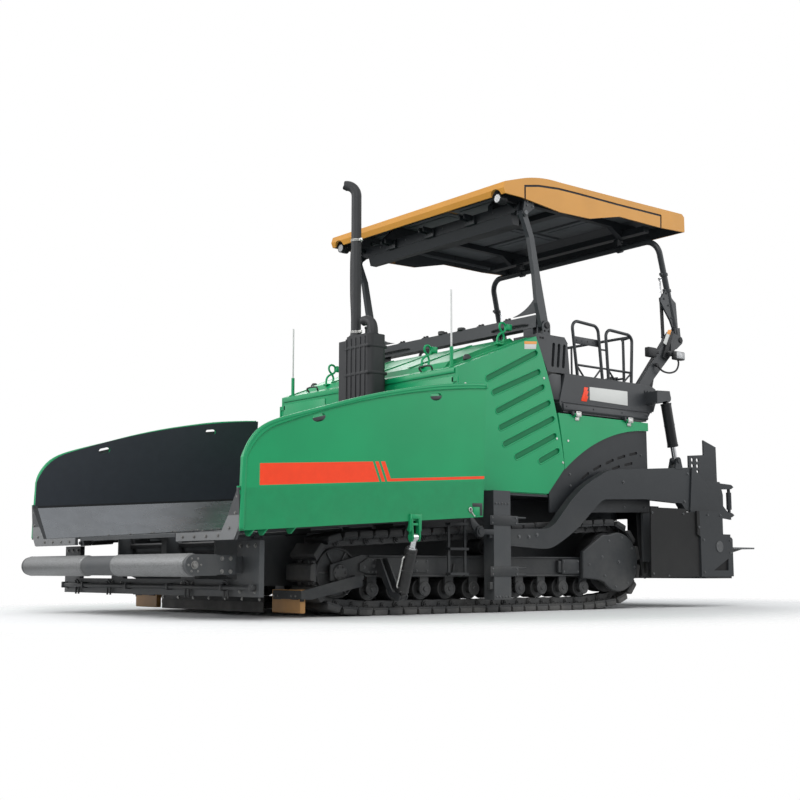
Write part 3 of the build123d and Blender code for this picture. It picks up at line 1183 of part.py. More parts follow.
with BuildPart() as roof_frame:
    # Cross members and the rails between them, up to the ceiling of the roof.
    for x, z, depth, height in (
            (POST_TOP_X - 60, POST_TOP_Z + 80, 110, 90), (-1150, ROOF_CEILING - 30, 90, 60),
            (HOOP_TOP_X + 60, HOOP_TOP_Z + 110, 80, 60)):
        with BuildSketch(side_plane(1100)):
            with Locations((x, z)):
                Rectangle(depth, height)
        extrude(amount=2200)
    with BuildSketch(side_plane(1040)):
        with BuildLine():
            Polyline(
                (POST_TOP_X - 5, POST_TOP_Z + 60), (POST_TOP_X - 40, POST_TOP_Z - 60),
                (POST_TOP_X - 115, POST_TOP_Z - 60), (POST_TOP_X - 115, POST_TOP_Z + 60), close=True)
        make_face()
    extrude(amount=2080)
    for y in (780, -780):
        with BuildSketch(side_plane(y + 30)):
            with BuildLine():
                Polyline(
                    (-185, POST_TOP_Z + 70), (-185, POST_TOP_Z + 170), (-340, ROOF_CEILING),
                    (-2230, ROOF_CEILING), (-2230, ROOF_CEILING - 50), (-2080, HOOP_TOP_Z + 80),
                    (-2000, HOOP_TOP_Z + 80), (-1850, ROOF_CEILING - 60), (-700, ROOF_CEILING - 60),
                    (-330, POST_TOP_Z + 70), close=True)
            make_face()
        extrude(amount=60)
    for side in (1, -1):
        for face in (side * LINK_Y + EAR_HALF + EAR, side * LINK_Y - EAR_HALF):
            with BuildSketch(side_plane(face)):
                with Locations((POST_TOP_X, POST_TOP_Z)):
                    Circle(34)
                with BuildLine():
                    Polyline(
                        (POST_TOP_X - 34, POST_TOP_Z), (POST_TOP_X - 110, POST_TOP_Z + 60),
                        (POST_TOP_X - 110, POST_TOP_Z + 120), (POST_TOP_X + 10, POST_TOP_Z + 120),
                        (POST_TOP_X + 34, POST_TOP_Z), close=True)
                make_face()
            extrude(amount=EAR)
        with BuildSketch(side_plane(side * LINK_Y + EAR_HALF)):
            with Locations((POST_TOP_X, POST_TOP_Z)):
                Circle(FOLD_PIN_R)
        extrude(amount=2 * EAR_HALF)
        low, high = sorted((side * 1090, side * (LINK_Y + EAR_HALF + EAR)))
        with BuildSketch(side_plane(high)):
            with Locations((POST_TOP_X - 60, POST_TOP_Z + 85)):
                Rectangle(100, 70)
        extrude(amount=high - low)
    # Clamps round the hoop's cross tube.
    for y in (-700, 700):
        with BuildSketch(side_plane(y + 25)):
            with Locations((HOOP_TOP_X, HOOP_TOP_Z)):
                Circle(HOOP_TUBE_R + 14)
            with Locations((HOOP_TOP_X + 30, HOOP_TOP_Z + 60)):
                Rectangle(60, 100)
            with Locations((HOOP_TOP_X, HOOP_TOP_Z)):
                Circle(HOOP_TUBE_R + RUN, mode=Mode.SUBTRACT)
        extrude(amount=50)
CENTRE.append(("roof_frame", roof_frame))

with BuildPart() as work_lamp:
    with BuildSketch(Plane.YZ.offset(LAMP_STEM_X)):
        with Locations((LAMP_Y - 6, LAMP_Z)):
            Circle(11)
    extrude(amount=LAMP_X - LAMP_STEM_X + 10)
    with BuildSketch(Plane.YZ.offset(LAMP_X)):
        with Locations((LAMP_Y, LAMP_Z)):
            Circle(LAMP_R)
    extrude(amount=84)
MIRRORED.append(("work_lamps", work_lamp))

# ---- Controls, seats and rails on the platform --------------------------------------------------------
SEAT_X, SEAT_Y = -1420, 820
PANEL_X = -1200
with BuildPart() as control_console:
    with BuildSketch(Plane.XY.offset(PLATFORM)):
        with Locations((PANEL_X, 0)):
            RectangleRounded(220, 300, 30)
    extrude(amount=562)
    with BuildSketch(side_plane(330)):
        with BuildLine():
            Polyline(
                (PANEL_X + 120, PLATFORM + 560), (PANEL_X + 80, PLATFORM + 760), (PANEL_X, PLATFORM + 770),
                (PANEL_X - 120, PLATFORM + 600), (PANEL_X - 120, PLATFORM + 560), close=True)
        make_face()
    extrude(amount=660)
CENTRE.append(("control_console", control_console))

SEAT_PAN = 106              # seat plate above the platform
with BuildPart() as seat_frame:
    with BuildSketch(Plane.XY.offset(PLATFORM)):
        with Locations((SEAT_X, SEAT_Y)):
            RectangleRounded(320, 320, 30)
    extrude(amount=16)
    with BuildSketch(Plane.XY.offset(PLATFORM)):
        with Locations((SEAT_X, SEAT_Y)):
            Circle(60)
    extrude(amount=SEAT_PAN + 4)
    with BuildSketch(Plane.XY.offset(PLATFORM + SEAT_PAN)):
        with Locations((SEAT_X - 16, SEAT_Y)):
            RectangleRounded(448, 440, 40)
    extrude(amount=14)
    with BuildSketch(side_plane(SEAT_Y + 180)):
        with BuildLine():
            Polyline(
                (SEAT_X - 212, PLATFORM + SEAT_PAN), (SEAT_X - 240, PLATFORM + 440),
                (SEAT_X - 254, PLATFORM + 440),
                (SEAT_X - 230, PLATFORM + SEAT_PAN), close=True)
        make_face()
    extrude(amount=360)
MIRRORED.append(("seat_frames", seat_frame))

with BuildPart() as seat_cushion:
    with BuildSketch(Plane.XY.offset(PLATFORM + SEAT_PAN + 14)):
        with Locations((SEAT_X + 16, SEAT_Y)):
            RectangleRounded(380, 440, 60)
    extrude(amount=90)
    fillet(seat_cushion.edges().group_by(Axis.Z)[-1], 30)
    with BuildSketch(side_plane(SEAT_Y + 205)):
        with BuildLine():
            Polyline(
                (SEAT_X - 176, PLATFORM + 216), (SEAT_X - 150, PLATFORM + 240),
                (SEAT_X - 166, PLATFORM + 440),
                (SEAT_X - 200, PLATFORM + 462), (SEAT_X - 240, PLATFORM + 440),
                (SEAT_X - 212 - 28 * (216 - SEAT_PAN) / (440 - SEAT_PAN), PLATFORM + 216), close=True)
        make_face()
    extrude(amount=410)
MIRRORED.append(("seat_cushions", seat_cushion))

RAIL_R = 15
RAIL_Y = 1090
RAIL_MIDDLE = 2250
RAIL_LOOPS = (
    # foot x, top front x, top rear x, foot x, top z
    (-1040, -925, -1290, -1380, 2668),
    (-1450, -1400, -1790, -1740, 2640),
)
with BuildPart() as handrail:
    for foot, front, rear, back_foot, top_z in RAIL_LOOPS:
        with BuildLine() as rail_path:
            FilletPolyline(
                (foot, RAIL_Y, PLATFORM + 3), (front, RAIL_Y, top_z), (rear, RAIL_Y, top_z - 20),
                (back_foot, RAIL_Y, PLATFORM + 3), radius=70)
        with BuildSketch(Plane(origin=rail_path.line @ 0, z_dir=rail_path.line % 0)):
            Circle(RAIL_R)
        sweep(path=rail_path.line)
        with BuildSketch(Plane.XY.offset(PLATFORM)):
            with Locations((foot, RAIL_Y), (back_foot, RAIL_Y)):
                Circle(26)
        extrude(amount=8)
        # Middle bar between the legs.
        share = (RAIL_MIDDLE - PLATFORM - 3) / (top_z - PLATFORM - 3)
        start = foot + share * (front - foot)
        end = back_foot + share * (rear - back_foot)
        with BuildSketch(Plane.YZ.offset(end)):
            with Locations((RAIL_Y, RAIL_MIDDLE)):
                Circle(11)
        extrude(amount=start - end)
MIRRORED.append(("handrails", handrail))

# ---- Auger frame and augers -------------------------------------------------------------------------
AUGER_X, AUGER_Z = -2000, 470
AUGER_R = 200
AUGER_PITCH = 320
AUGER_SHAFT_R = 44
STUB_R = 26
AUGER_IN, AUGER_OUT = 92, 1160
CASE_HALF = 88
AUGER_BEAM_Z = 905
FLIGHT = 14
HANGER = 24
AUGER_BEAM_HALF = AUGER_OUT + 4 + HANGER
with BuildPart() as auger_frame:
    with BuildSketch(side_plane(AUGER_BEAM_HALF)):
        with Locations((AUGER_X + 60, AUGER_BEAM_Z)):
            Rectangle(130, 110)
    extrude(amount=2 * AUGER_BEAM_HALF)
    for y in (FRAME_OUT, -FRAME_OUT + 40):
        with BuildSketch(side_plane(y)):
            with Locations(((FRAME_REAR + AUGER_X + 120) / 2, AUGER_BEAM_Z)):
                Rectangle(FRAME_REAR - AUGER_X - 120, 150)
        extrude(amount=40)
    # Chain case between the two augers, and a bearing hanger at each outer end.
    for face, width in ((CASE_HALF, 2 * CASE_HALF), (AUGER_BEAM_HALF, HANGER), (-AUGER_OUT - 4, HANGER)):
        with BuildSketch(side_plane(face)):
            with Locations((AUGER_X, AUGER_Z)):
                Circle(90)
            with BuildLine():
                Polyline(
                    (AUGER_X - 90, AUGER_Z), (AUGER_X - 5, AUGER_BEAM_Z), (AUGER_X + 125, AUGER_BEAM_Z),
                    (AUGER_X + 90, AUGER_Z),
                    close=True)
            make_face()
        extrude(amount=width)
    # Bores for the stub shafts.
    for face, depth in ((CASE_HALF, 24), (-CASE_HALF + 24, 24), (AUGER_BEAM_HALF, HANGER),
            (-AUGER_OUT - 4, HANGER)):
        with BuildSketch(side_plane(face)):
            with Locations((AUGER_X, AUGER_Z)):
                Circle(STUB_R + RUN)
        extrude(amount=depth, mode=Mode.SUBTRACT)
CENTRE.append(("auger_frame", auger_frame))

FLIGHT_STEP = 30            # degrees between the rulings of a flight
FLIGHT_IN = AUGER_SHAFT_R * 0.7
flight_steps = round((AUGER_OUT - AUGER_IN - 60) / AUGER_PITCH * 360 / FLIGHT_STEP)

with BuildPart() as auger:
    with BuildSketch(side_plane(AUGER_OUT)):
        with Locations((AUGER_X, AUGER_Z)):
            Circle(AUGER_SHAFT_R)
    extrude(amount=AUGER_OUT - AUGER_IN)
    with BuildSketch(side_plane(AUGER_BEAM_HALF)):
        with Locations((AUGER_X, AUGER_Z)):
            Circle(STUB_R)
    extrude(amount=AUGER_BEAM_HALF - CASE_HALF + 20)
    for k in range(flight_steps + 1):
        angle = radians(k * FLIGHT_STEP)
        y = AUGER_IN + 30 + k * FLIGHT_STEP / 360 * AUGER_PITCH
        out = Vector(cos(angle), 0, sin(angle))
        middle = Vector(AUGER_X, y, AUGER_Z) + out * ((AUGER_R + FLIGHT_IN) / 2)
        with BuildSketch(Plane(origin=middle, x_dir=out, z_dir=out.cross(Vector(0, 1, 0)))):
            Rectangle(AUGER_R - FLIGHT_IN, FLIGHT)
    loft(ruled=True)
PAIRS.append(("auger", auger))

# ---- Screed: box, end plates, tow arms and walkway ------------------------------------------------------
SCREED_FRONT, SCREED_REAR = -2340, -2790
SCREED_BOTTOM = 272
SCREED_TOP = 700
SCREED_HALF = 1440
END_PLATE = 24
DEFLECTOR = 12
WALK_REAR = -3300
WALK_HALF = 1360
WALK_BOTTOM = 562
with BuildPart() as screed:
    with BuildSketch(side_plane(SCREED_HALF)):
        with BuildLine():
            Polyline(
                (SCREED_FRONT, SCREED_BOTTOM + 50), (SCREED_FRONT, SCREED_TOP - 60),
                (SCREED_FRONT - 80, SCREED_TOP),
                (SCREED_REAR, SCREED_TOP), (SCREED_REAR, SCREED_BOTTOM),
                (SCREED_FRONT - 40, SCREED_BOTTOM), close=True)
        make_face()
    extrude(amount=2 * SCREED_HALF)
CENTRE.append(("screed", screed))

with BuildPart() as screed_end:
    # Deflector beside the auger, on a thin sheet that joins it to the end plate.
    with BuildSketch(side_plane(SCREED_HALF + DEFLECTOR)):
        with BuildLine():
            Polyline((-2265, 292), (-1545, SCREED_BOTTOM + 8), (-1560, 930), (-2090, 930), (-2094, 834))
            Spline((-2094, 834), (-2111, 572), (-2163, 452), (-2265, 292))
        make_face()
    extrude(amount=DEFLECTOR)
    with BuildSketch(side_plane(SCREED_HALF + DEFLECTOR / 2)):
        with Locations((-2180, 600)):
            Rectangle(360, 600)
    extrude(amount=DEFLECTOR / 2)
    with BuildSketch(side_plane(SCREED_HALF + END_PLATE)):
        with BuildLine():
            Polyline(
                (-2284, 291), (-2284, 669), (-2235, 690), (-2235, 914), (-2620, 914), (-2640, 890),
                (-2640, 690),
                (-2775, 669), (-2791, 650), (-2791, 291), close=True)
        make_face()
        with Locations((-2575, 578)):
            Circle(40, mode=Mode.SUBTRACT)
    extrude(amount=END_PLATE)
    with BuildSketch(side_plane(SCREED_HALF + END_PLATE)):
        with BuildLine():
            Polyline((-2470, 348), (-2714, 464), (-2708, 349), close=True)
        make_face()
    extrude(amount=END_PLATE * 0.7, mode=Mode.SUBTRACT)
MIRRORED.append(("screed_ends", screed_end))

# Points x, z of the tow arm's side: its upper curve from the nose, its rear, its lower curve back.
ARM_OVER = ((-165, 701), (-416, 835), (-745, 1108), (-947, 1206), (-1152, 1261))
ARM_REAR = (
    (-2217, 1334), (-2240, 1225), (-2700, 1215), (-2745, 1090), (-2745, 980), (-2700, 858), (-2140, 930),
    (-2092, 985), (-1563, 1005))
ARM_UNDER = ((-1034, 986), (-871, 918), (-604, 710), (-347, 568), (-162, 532))
NOSE_R = 69
with BuildPart() as tow_arm:
    with BuildSketch(side_plane(ARM_OUT)):
        with BuildLine():
            Spline(*ARM_OVER, tangents=((-1, 0), (-1, 0.1)))
            Polyline(ARM_OVER[-1], *ARM_REAR, ARM_UNDER[0])
            Spline(*ARM_UNDER, tangents=((1, 0), (1, 0)))
            Polyline(ARM_UNDER[-1], (230, 553), (230, 691), ARM_OVER[0])
        make_face()
        with Locations((TOW_X, TOW_Z)):
            Circle(NOSE_R)
        with Locations((TOW_X - 40, TOW_Z)):
            Rectangle(80, 2 * NOSE_R)
        with Locations((TOW_X, TOW_Z)):
            Circle(TOW_PIN_R + RUN, mode=Mode.SUBTRACT)
    extrude(amount=ARM_OUT - ARM_IN)
    for face in (LIFT_Y + PIN_GAP + LUG, LIFT_Y - PIN_GAP):
        with BuildSketch(side_plane(face)):
            with Locations((LIFT_FOOT_X, LIFT_FOOT_Z)):
                Circle(34)
            with BuildLine():
                Polyline(
                    (LIFT_FOOT_X - 34, LIFT_FOOT_Z), (LIFT_FOOT_X - 60, 1310), (LIFT_FOOT_X + 60, 1310),
                    (LIFT_FOOT_X + 34, LIFT_FOOT_Z), close=True)
            make_face()
        extrude(amount=LUG)
    for face in (LIFT_Y + PIN_GAP + LUG + BOSS, LIFT_Y - PIN_GAP - LUG):
        with BuildSketch(side_plane(face)):
            with Locations((LIFT_FOOT_X, LIFT_FOOT_Z)):
                Circle(LIFT_PIN_R + 6)
        extrude(amount=BOSS)
    # Foot that joins the arm to the screed.
    with BuildSketch(side_plane(ARM_OUT)):
        with Locations((-2500, (SCREED_TOP + 900) / 2)):
            Rectangle(380, 900 - SCREED_TOP)
    extrude(amount=ARM_OUT - ARM_IN)
    # Slanted brace on the outside of the arm's rear end.
    with BuildSketch(side_plane(ARM_OUT + 14)):
        with BuildLine():
            Polyline((-2244, 1330), (-2270, 1336), (-2850, 880), (-2850, 846), (-2200, 905), close=True)
        make_face()
    extrude(amount=16)
    # Lugs of the thickness screw, the screw and the upright plate above them.
    for z in (1175, 895):
        with BuildSketch(side_plane(ARM_OUT - 10)):
            with BuildLine():
                Polyline((-2680, z - 30), (-2680, z + 30), (-2900, z + 22), (-2940, z),
                    (-2900, z - 22), close=True)
            make_face()
        extrude(amount=60)
    for radius, low, high in ((16, 880, 1190), (26, 950, 1120)):
        with BuildSketch(Plane.XY.offset(low)):
            with Locations((-2895, ARM_OUT - 40)):
                Circle(radius)
        extrude(amount=high - low)
    with BuildSketch(side_plane(ARM_OUT - 20)):
        with BuildLine():
            Polyline(
                (-2240, 1200), (-2240, 1452), (-2480, 1472), (-2480, 1618), (-2680, 1560),
                (-2685, 1200), close=True)
        make_face()
        with Locations(*[(x, z) for x in (-2300, -2380) for z in (1300, 1358, 1416)]):
            Circle(20, mode=Mode.SUBTRACT)
    extrude(amount=14)
MIRRORED.append(("tow_arms", tow_arm))

with BuildPart() as walkway:
    with BuildSketch(Plane.XY.offset(WALK_BOTTOM)):
        with Locations(((SCREED_REAR + WALK_REAR) / 2, 0)):
            Rectangle(SCREED_REAR - WALK_REAR, 2 * WALK_HALF)
        with Locations(*[((SCREED_REAR + WALK_REAR) / 2, k * 300) for k in range(-4, 5)]):
            SlotOverall(300, 60, mode=Mode.SUBTRACT)
    extrude(amount=16)
    for y in (-1250, -450, 450, 1250):
        with BuildSketch(side_plane(y + 8)):
            with BuildLine():
                Polyline((SCREED_REAR, WALK_BOTTOM + 1), (WALK_REAR + 60, WALK_BOTTOM + 1),
                    (SCREED_REAR, 470), close=True)
            make_face()
        extrude(amount=16)
CENTRE.append(("walkway", walkway))

# ---- Ladders beside the tow guides -----------------------------------------------------------------------
with BuildPart() as ladder:
    for x, top in ((640, DECK_TOP - PLATE), (820, 735)):
        with BuildSketch(side_plane(1300)):
            with Locations((x, (top + 300) / 2)):
                Rectangle(24, top - 300)
        extrude(amount=12)
    for z in (320, 522, 725):
        with BuildSketch(side_plane(1330)):
            with Locations((730, z)):
                Rectangle(204, 20)
        extrude(amount=60)
    with BuildSketch(Plane.XY.offset(DECK_TOP - PLATE - 20)):
        with Locations((652, 1260)):
            Rectangle(48, 80)
    extrude(amount=20)
MIRRORED.append(("ladders", ladder))

# ---- Files ------------------------------------------------------------------------------------------
os.makedirs("parts", exist_ok=True)
for name, piece in CENTRE:
    piece.part.label = name
    export_step(piece.part, f"parts/{name}.step")
for name, piece in MIRRORED:
    with BuildPart() as both:
        add(piece.part)
        mirror(about=Plane.XZ)
    both.part.label = name
    export_step(both.part, f"parts/{name}.step")
for name, piece in PAIRS:
    piece.part.label = f"{name}_left"
    export_step(piece.part, f"parts/{name}_left.step")
    with BuildPart() as twin:
        mirror(piece.part, about=Plane.XZ)
    twin.part.label = f"{name}_right"
    export_step(twin.part, f"parts/{name}_right.step")
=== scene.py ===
import math

import bmesh
import bpy
from mathutils import Matrix, Vector


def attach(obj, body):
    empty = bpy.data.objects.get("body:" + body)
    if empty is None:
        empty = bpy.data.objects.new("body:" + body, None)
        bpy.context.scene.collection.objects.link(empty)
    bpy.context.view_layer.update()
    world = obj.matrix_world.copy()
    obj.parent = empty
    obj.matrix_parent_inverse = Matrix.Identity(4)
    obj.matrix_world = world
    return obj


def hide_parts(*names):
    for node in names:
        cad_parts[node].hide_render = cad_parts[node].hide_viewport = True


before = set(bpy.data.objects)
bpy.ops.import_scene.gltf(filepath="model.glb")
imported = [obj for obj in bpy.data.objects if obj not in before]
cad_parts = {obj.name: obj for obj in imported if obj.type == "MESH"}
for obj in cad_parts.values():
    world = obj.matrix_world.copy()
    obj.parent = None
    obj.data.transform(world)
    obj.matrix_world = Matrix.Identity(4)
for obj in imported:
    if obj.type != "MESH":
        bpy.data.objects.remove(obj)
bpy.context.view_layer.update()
print("frame loaded")

# camera, floor and light

camera = {"place": (7.785, 9.0, 0.343), "back": (0.642, 0.767), "pitch": 7.67, "lens": 57.15}


def place(name, data, spot, look):
    # a camera or lamp that looks along a direction
    seen = bpy.data.objects.new(name, data)
    bpy.context.collection.objects.link(seen)
    seen.location = spot
    seen.rotation_euler = look.to_track_quat("-Z", "Y").to_euler()
    return seen


def addCamera(facts):
    data = bpy.data.cameras.new("camera")
    data.lens = facts["lens"]
    data.sensor_width = 36
    data.sensor_fit = "HORIZONTAL"
    data.clip_end = 200
    flat = math.hypot(*facts["back"])
    look = Vector((-facts["back"][0] / flat, -facts["back"][1] / flat,
                   math.tan(math.radians(facts["pitch"]))))
    bpy.context.scene.camera = place("camera", data, facts["place"], look)


addCamera(camera)


def addNode(tree, kind, **settings):
    node = tree.nodes.new(kind)
    for key, value in settings.items():
        if key in node.inputs:
            node.inputs[key].default_value = value
        else:
            setattr(node, key, value)
    return node


def wire(tree, out, into):
    tree.links.new(out, into)


stageLook = {"colour": (0.80, 0.805, 0.81, 1), "white": (1, 1, 1, 1), "size": 60, "reach": (4.1, 2.7)}


def addStage(facts):
    world = bpy.data.worlds.new("studio")
    bpy.context.scene.world = world
    world.use_nodes = True
    tree = world.node_tree
    tree.nodes.clear()
    end = addNode(tree, "ShaderNodeOutputWorld")
    plain = addNode(tree, "ShaderNodeBackground", Color=(0.96, 0.98, 1, 1), Strength=0.62)
    seen = addNode(tree, "ShaderNodeBackground", Color=facts["white"], Strength=1)
    path = addNode(tree, "ShaderNodeLightPath")
    either = addNode(tree, "ShaderNodeMath", operation="MAXIMUM")
    glass = addNode(tree, "ShaderNodeMath", operation="MAXIMUM")
    mix = addNode(tree, "ShaderNodeMixShader")
    # metals mirror a darker ground: the lower half of the world dims for every ray but the camera's
    way = addNode(tree, "ShaderNodeTexCoord")
    height = addNode(tree, "ShaderNodeSeparateXYZ")
    dim = addNode(tree, "ShaderNodeMapRange", interpolation_type="SMOOTHSTEP",
                  **{"From Min": -0.25, "From Max": 0.12, "To Min": 0.15, "To Max": 1})
    bright = addNode(tree, "ShaderNodeMath", operation="MAXIMUM")
    for out, into in (
            (way.outputs["Generated"], height.inputs[0]), (height.outputs["Z"], dim.inputs["Value"]),
            (dim.outputs["Result"], bright.inputs[0]), (path.outputs["Is Camera Ray"], bright.inputs[1]),
            (bright.outputs[0], seen.inputs["Strength"]), (path.outputs["Is Camera Ray"], either.inputs[0]),
            (path.outputs["Is Transmission Ray"], either.inputs[1]), (either.outputs[0], glass.inputs[0]),
            (path.outputs["Is Glossy Ray"], glass.inputs[1]), (glass.outputs[0], mix.inputs["Fac"]),
            (plain.outputs[0], mix.inputs[1]), (seen.outputs[0], mix.inputs[2]),
            (mix.outputs[0], end.inputs["Surface"])):
        wire(tree, out, into)

    half = facts["size"] / 2
    mesh = bpy.data.meshes.new("floor")
    mesh.from_pydata([(-half, -half, 0), (half, -half, 0), (half, half, 0), (-half, half, 0)], [],
                     [(0, 1, 2, 3)])
    floor = bpy.data.objects.new("floor", mesh)
    bpy.context.collection.objects.link(floor)
    stuff = bpy.data.materials.new("studioFloor")
    stuff.use_nodes = True
    tree = stuff.node_tree
    shader = tree.nodes["Principled BSDF"]
    for label, value in (("Roughness", 0.9), ("Specular IOR Level", 0.1), ("Base Color", facts["colour"])):
        shader.inputs[label].default_value = value
    # the floor melts into the white round the machine
    coords = addNode(tree, "ShaderNodeTexCoord")
    oval = addNode(tree, "ShaderNodeMapping")
    oval.inputs["Scale"].default_value = (1 / facts["reach"][0], 1 / facts["reach"][1], 0)
    far = addNode(tree, "ShaderNodeVectorMath", operation="LENGTH")
    fade = addNode(tree, "ShaderNodeMapRange", interpolation_type="SMOOTHSTEP",
                   **{"From Min": 0.95, "From Max": 1.6, "To Min": 1, "To Max": 0})
    wire(tree, coords.outputs["Object"], oval.inputs["Vector"])
    wire(tree, oval.outputs[0], far.inputs[0])
    wire(tree, far.outputs["Value"], fade.inputs["Value"])
    wire(tree, fade.outputs["Result"], shader.inputs["Alpha"])
    mesh.materials.append(stuff)


addStage(stageLook)
bpy.context.scene.view_settings.view_transform = "Standard"

lamps = [
    {"name": name, "place": spot, "aim": aim, "size": size, "watts": watts, "colour": colour}
    for name, spot, aim, size, watts, colour in (
        ("keyLight", (7, 8, 9), (0, 0, 1.4), 7, 620, (1, 0.99, 0.97)),
        ("sideLight", (-7, 7.5, 6), (-1, 0, 1.2), 7, 260, (0.98, 0.99, 1)),
        ("frontLight", (9, -4, 6), (1, 0, 1.0), 6, 470, (1, 1, 1)),
        ("backLight", (-7, -8, 8), (0, 0, 1.4), 7, 380, (1, 1, 1)),
    )
]
for facts in lamps:
    data = bpy.data.lights.new(facts["name"], "AREA")
    data.size = facts["size"]
    data.energy = facts["watts"]
    data.color = facts["colour"]
    place(facts["name"], data, facts["place"], Vector(facts["aim"]) - Vector(facts["place"]))
print("stage, camera and light")

# shared surface effects, each a shader group with named sockets


def newGroup(name, ins, outs):
    group = bpy.data.node_groups.new(name, "ShaderNodeTree")
    for label, value in ins.items():
        socket = group.interface.new_socket(label, in_out="INPUT", socket_type="NodeSocketFloat")
        socket.default_value = value
    for label in outs:
        group.interface.new_socket(label, in_out="OUTPUT", socket_type="NodeSocketFloat")
    source = addNode(group, "NodeGroupInput")
    sink = addNode(group, "NodeGroupOutput")
    return group, source, sink


def mathNode(tree, operation, a, b=None, clamp=False):
    node = addNode(tree, "ShaderNodeMath", operation=operation, use_clamp=clamp)
    for slot, value in enumerate((a, b)):
        if value is None:
            continue
        if isinstance(value, (int, float)):
            node.inputs[slot].default_value = value
        else:
            wire(tree, value, node.inputs[slot])
    return node.outputs[0]


def rampNode(tree, value, low, high):
    node = addNode(tree, "ShaderNodeMapRange", interpolation_type="SMOOTHSTEP")
    node.inputs["From Min"].default_value = low
    node.inputs["From Max"].default_value = high
    wire(tree, value, node.inputs["Value"])
    return node.outputs["Result"]


def noiseNode(tree, place, scale, detail=4, rough=0.55):
    node = addNode(tree, "ShaderNodeTexNoise", Detail=detail, Roughness=rough)
    if isinstance(scale, (int, float)):
        node.inputs["Scale"].default_value = scale
    else:
        wire(tree, scale, node.inputs["Scale"])
    wire(tree, place, node.inputs["Vector"])
    return node.outputs["Fac"]


def makeEdgeWear():
    # bare or pale rubbed lines along sharp edges, broken up by noise
    group, source, sink = newGroup("edgeWear", {"Radius": 0.006, "Breakup": 9, "Amount": 1}, ["Wear"])
    bevel = addNode(group, "ShaderNodeBevel", samples=4)
    wire(group, source.outputs["Radius"], bevel.inputs["Radius"])
    face = addNode(group, "ShaderNodeNewGeometry")
    dot = addNode(group, "ShaderNodeVectorMath", operation="DOT_PRODUCT")
    wire(group, bevel.outputs[0], dot.inputs[0])
    wire(group, face.outputs["Normal"], dot.inputs[1])
    turned = mathNode(group, "SUBTRACT", 1, dot.outputs["Value"])
    edge = rampNode(group, turned, 0.02, 0.2)
    coords = addNode(group, "ShaderNodeTexCoord")
    patch = rampNode(group, noiseNode(group, coords.outputs["Object"], source.outputs["Breakup"], 6, 0.7),
                     0.46, 0.62)
    worn = mathNode(group, "MULTIPLY", edge, patch)
    wire(group, mathNode(group, "MULTIPLY", worn, source.outputs["Amount"], True), sink.inputs["Wear"])
    return group


def makeSettledDust():
    # pale road dust: thicker low down and on faces that look up
    ins = {"Low Amount": 0.6, "Top Amount": 0.2, "Reach": 0.9, "Scale": 3}
    group, source, sink = newGroup("settledDust", ins, ["Dust"])
    coords = addNode(group, "ShaderNodeTexCoord")
    spot = addNode(group, "ShaderNodeSeparateXYZ")
    wire(group, coords.outputs["Object"], spot.inputs[0])
    way = addNode(group, "ShaderNodeSeparateXYZ")
    wire(group, coords.outputs["Normal"], way.inputs[0])
    height = mathNode(group, "DIVIDE", spot.outputs["Z"], source.outputs["Reach"])
    low = mathNode(group, "MULTIPLY", mathNode(group, "SUBTRACT", 1, height, True),
                   source.outputs["Low Amount"])
    top = mathNode(group, "MULTIPLY", rampNode(group, way.outputs["Z"], 0.35, 0.95),
                   source.outputs["Top Amount"])
    both = mathNode(group, "ADD", low, top)
    cloud = rampNode(group, noiseNode(group, coords.outputs["Object"], source.outputs["Scale"], 7, 0.65),
                     0.32, 0.72)
    fine = noiseNode(group, coords.outputs["Object"], 60, 3, 0.6)
    mask = mathNode(group, "MULTIPLY", both,
                    mathNode(group, "ADD", cloud, mathNode(group, "MULTIPLY", fine, 0.35)), True)
    wire(group, mask, sink.inputs["Dust"])
    return group


def makePaintSkin():
    # sprayed paint: faint orange peel, soft tone drift and uneven shine
    group, source, sink = newGroup("paintSkin", {"Peel Scale": 420, "Drift Scale": 1.6},
                                   ["Height", "Tone", "Shine"])
    coords = addNode(group, "ShaderNodeTexCoord")
    place = coords.outputs["Object"]
    wire(group, noiseNode(group, place, source.outputs["Peel Scale"], 2, 0.5), sink.inputs["Height"])
    wire(group, noiseNode(group, place, source.outputs["Drift Scale"], 3, 0.5), sink.inputs["Tone"])
    wire(group, noiseNode(group, place, 11, 6, 0.65), sink.inputs["Shine"])
    return group


def makeRubbedSteel():
    # long rub marks drawn out along one axis, with pits between
    ins = {"Along X": 1, "Along Y": 1, "Along Z": 1, "Scale": 40}
    group, source, sink = newGroup("rubbedSteel", ins, ["Streak", "Pits"])
    coords = addNode(group, "ShaderNodeTexCoord")
    stretch = addNode(group, "ShaderNodeCombineXYZ")
    for axis in "XYZ":
        wire(group, source.outputs["Along " + axis], stretch.inputs[axis])
    drawn = addNode(group, "ShaderNodeVectorMath", operation="MULTIPLY")
    wire(group, coords.outputs["Object"], drawn.inputs[0])
    wire(group, stretch.outputs[0], drawn.inputs[1])
    wire(group, noiseNode(group, drawn.outputs[0], source.outputs["Scale"], 5, 0.6), sink.inputs["Streak"])
    wire(group, rampNode(group, noiseNode(group, coords.outputs["Object"], 95, 4, 0.7), 0.52, 0.7),
         sink.inputs["Pits"])
    return group


edgeWear = makeEdgeWear()
settledDust = makeSettledDust()
paintSkin = makePaintSkin()
rubbedSteel = makeRubbedSteel()


def placeGroup(tree, group, **values):
    node = addNode(tree, "ShaderNodeGroup")
    node.node_tree = group
    for key, value in values.items():
        node.inputs[key].default_value = value
    return node


def mixColour(tree, mask, a, b):
    node = addNode(tree, "ShaderNodeMix", data_type="RGBA")
    for slot, value in ((6, a), (7, b)):
        if isinstance(value, tuple):
            node.inputs[slot].default_value = value
        else:
            wire(tree, value, node.inputs[slot])
    wire(tree, mask, node.inputs[0])
    return node.outputs[2]


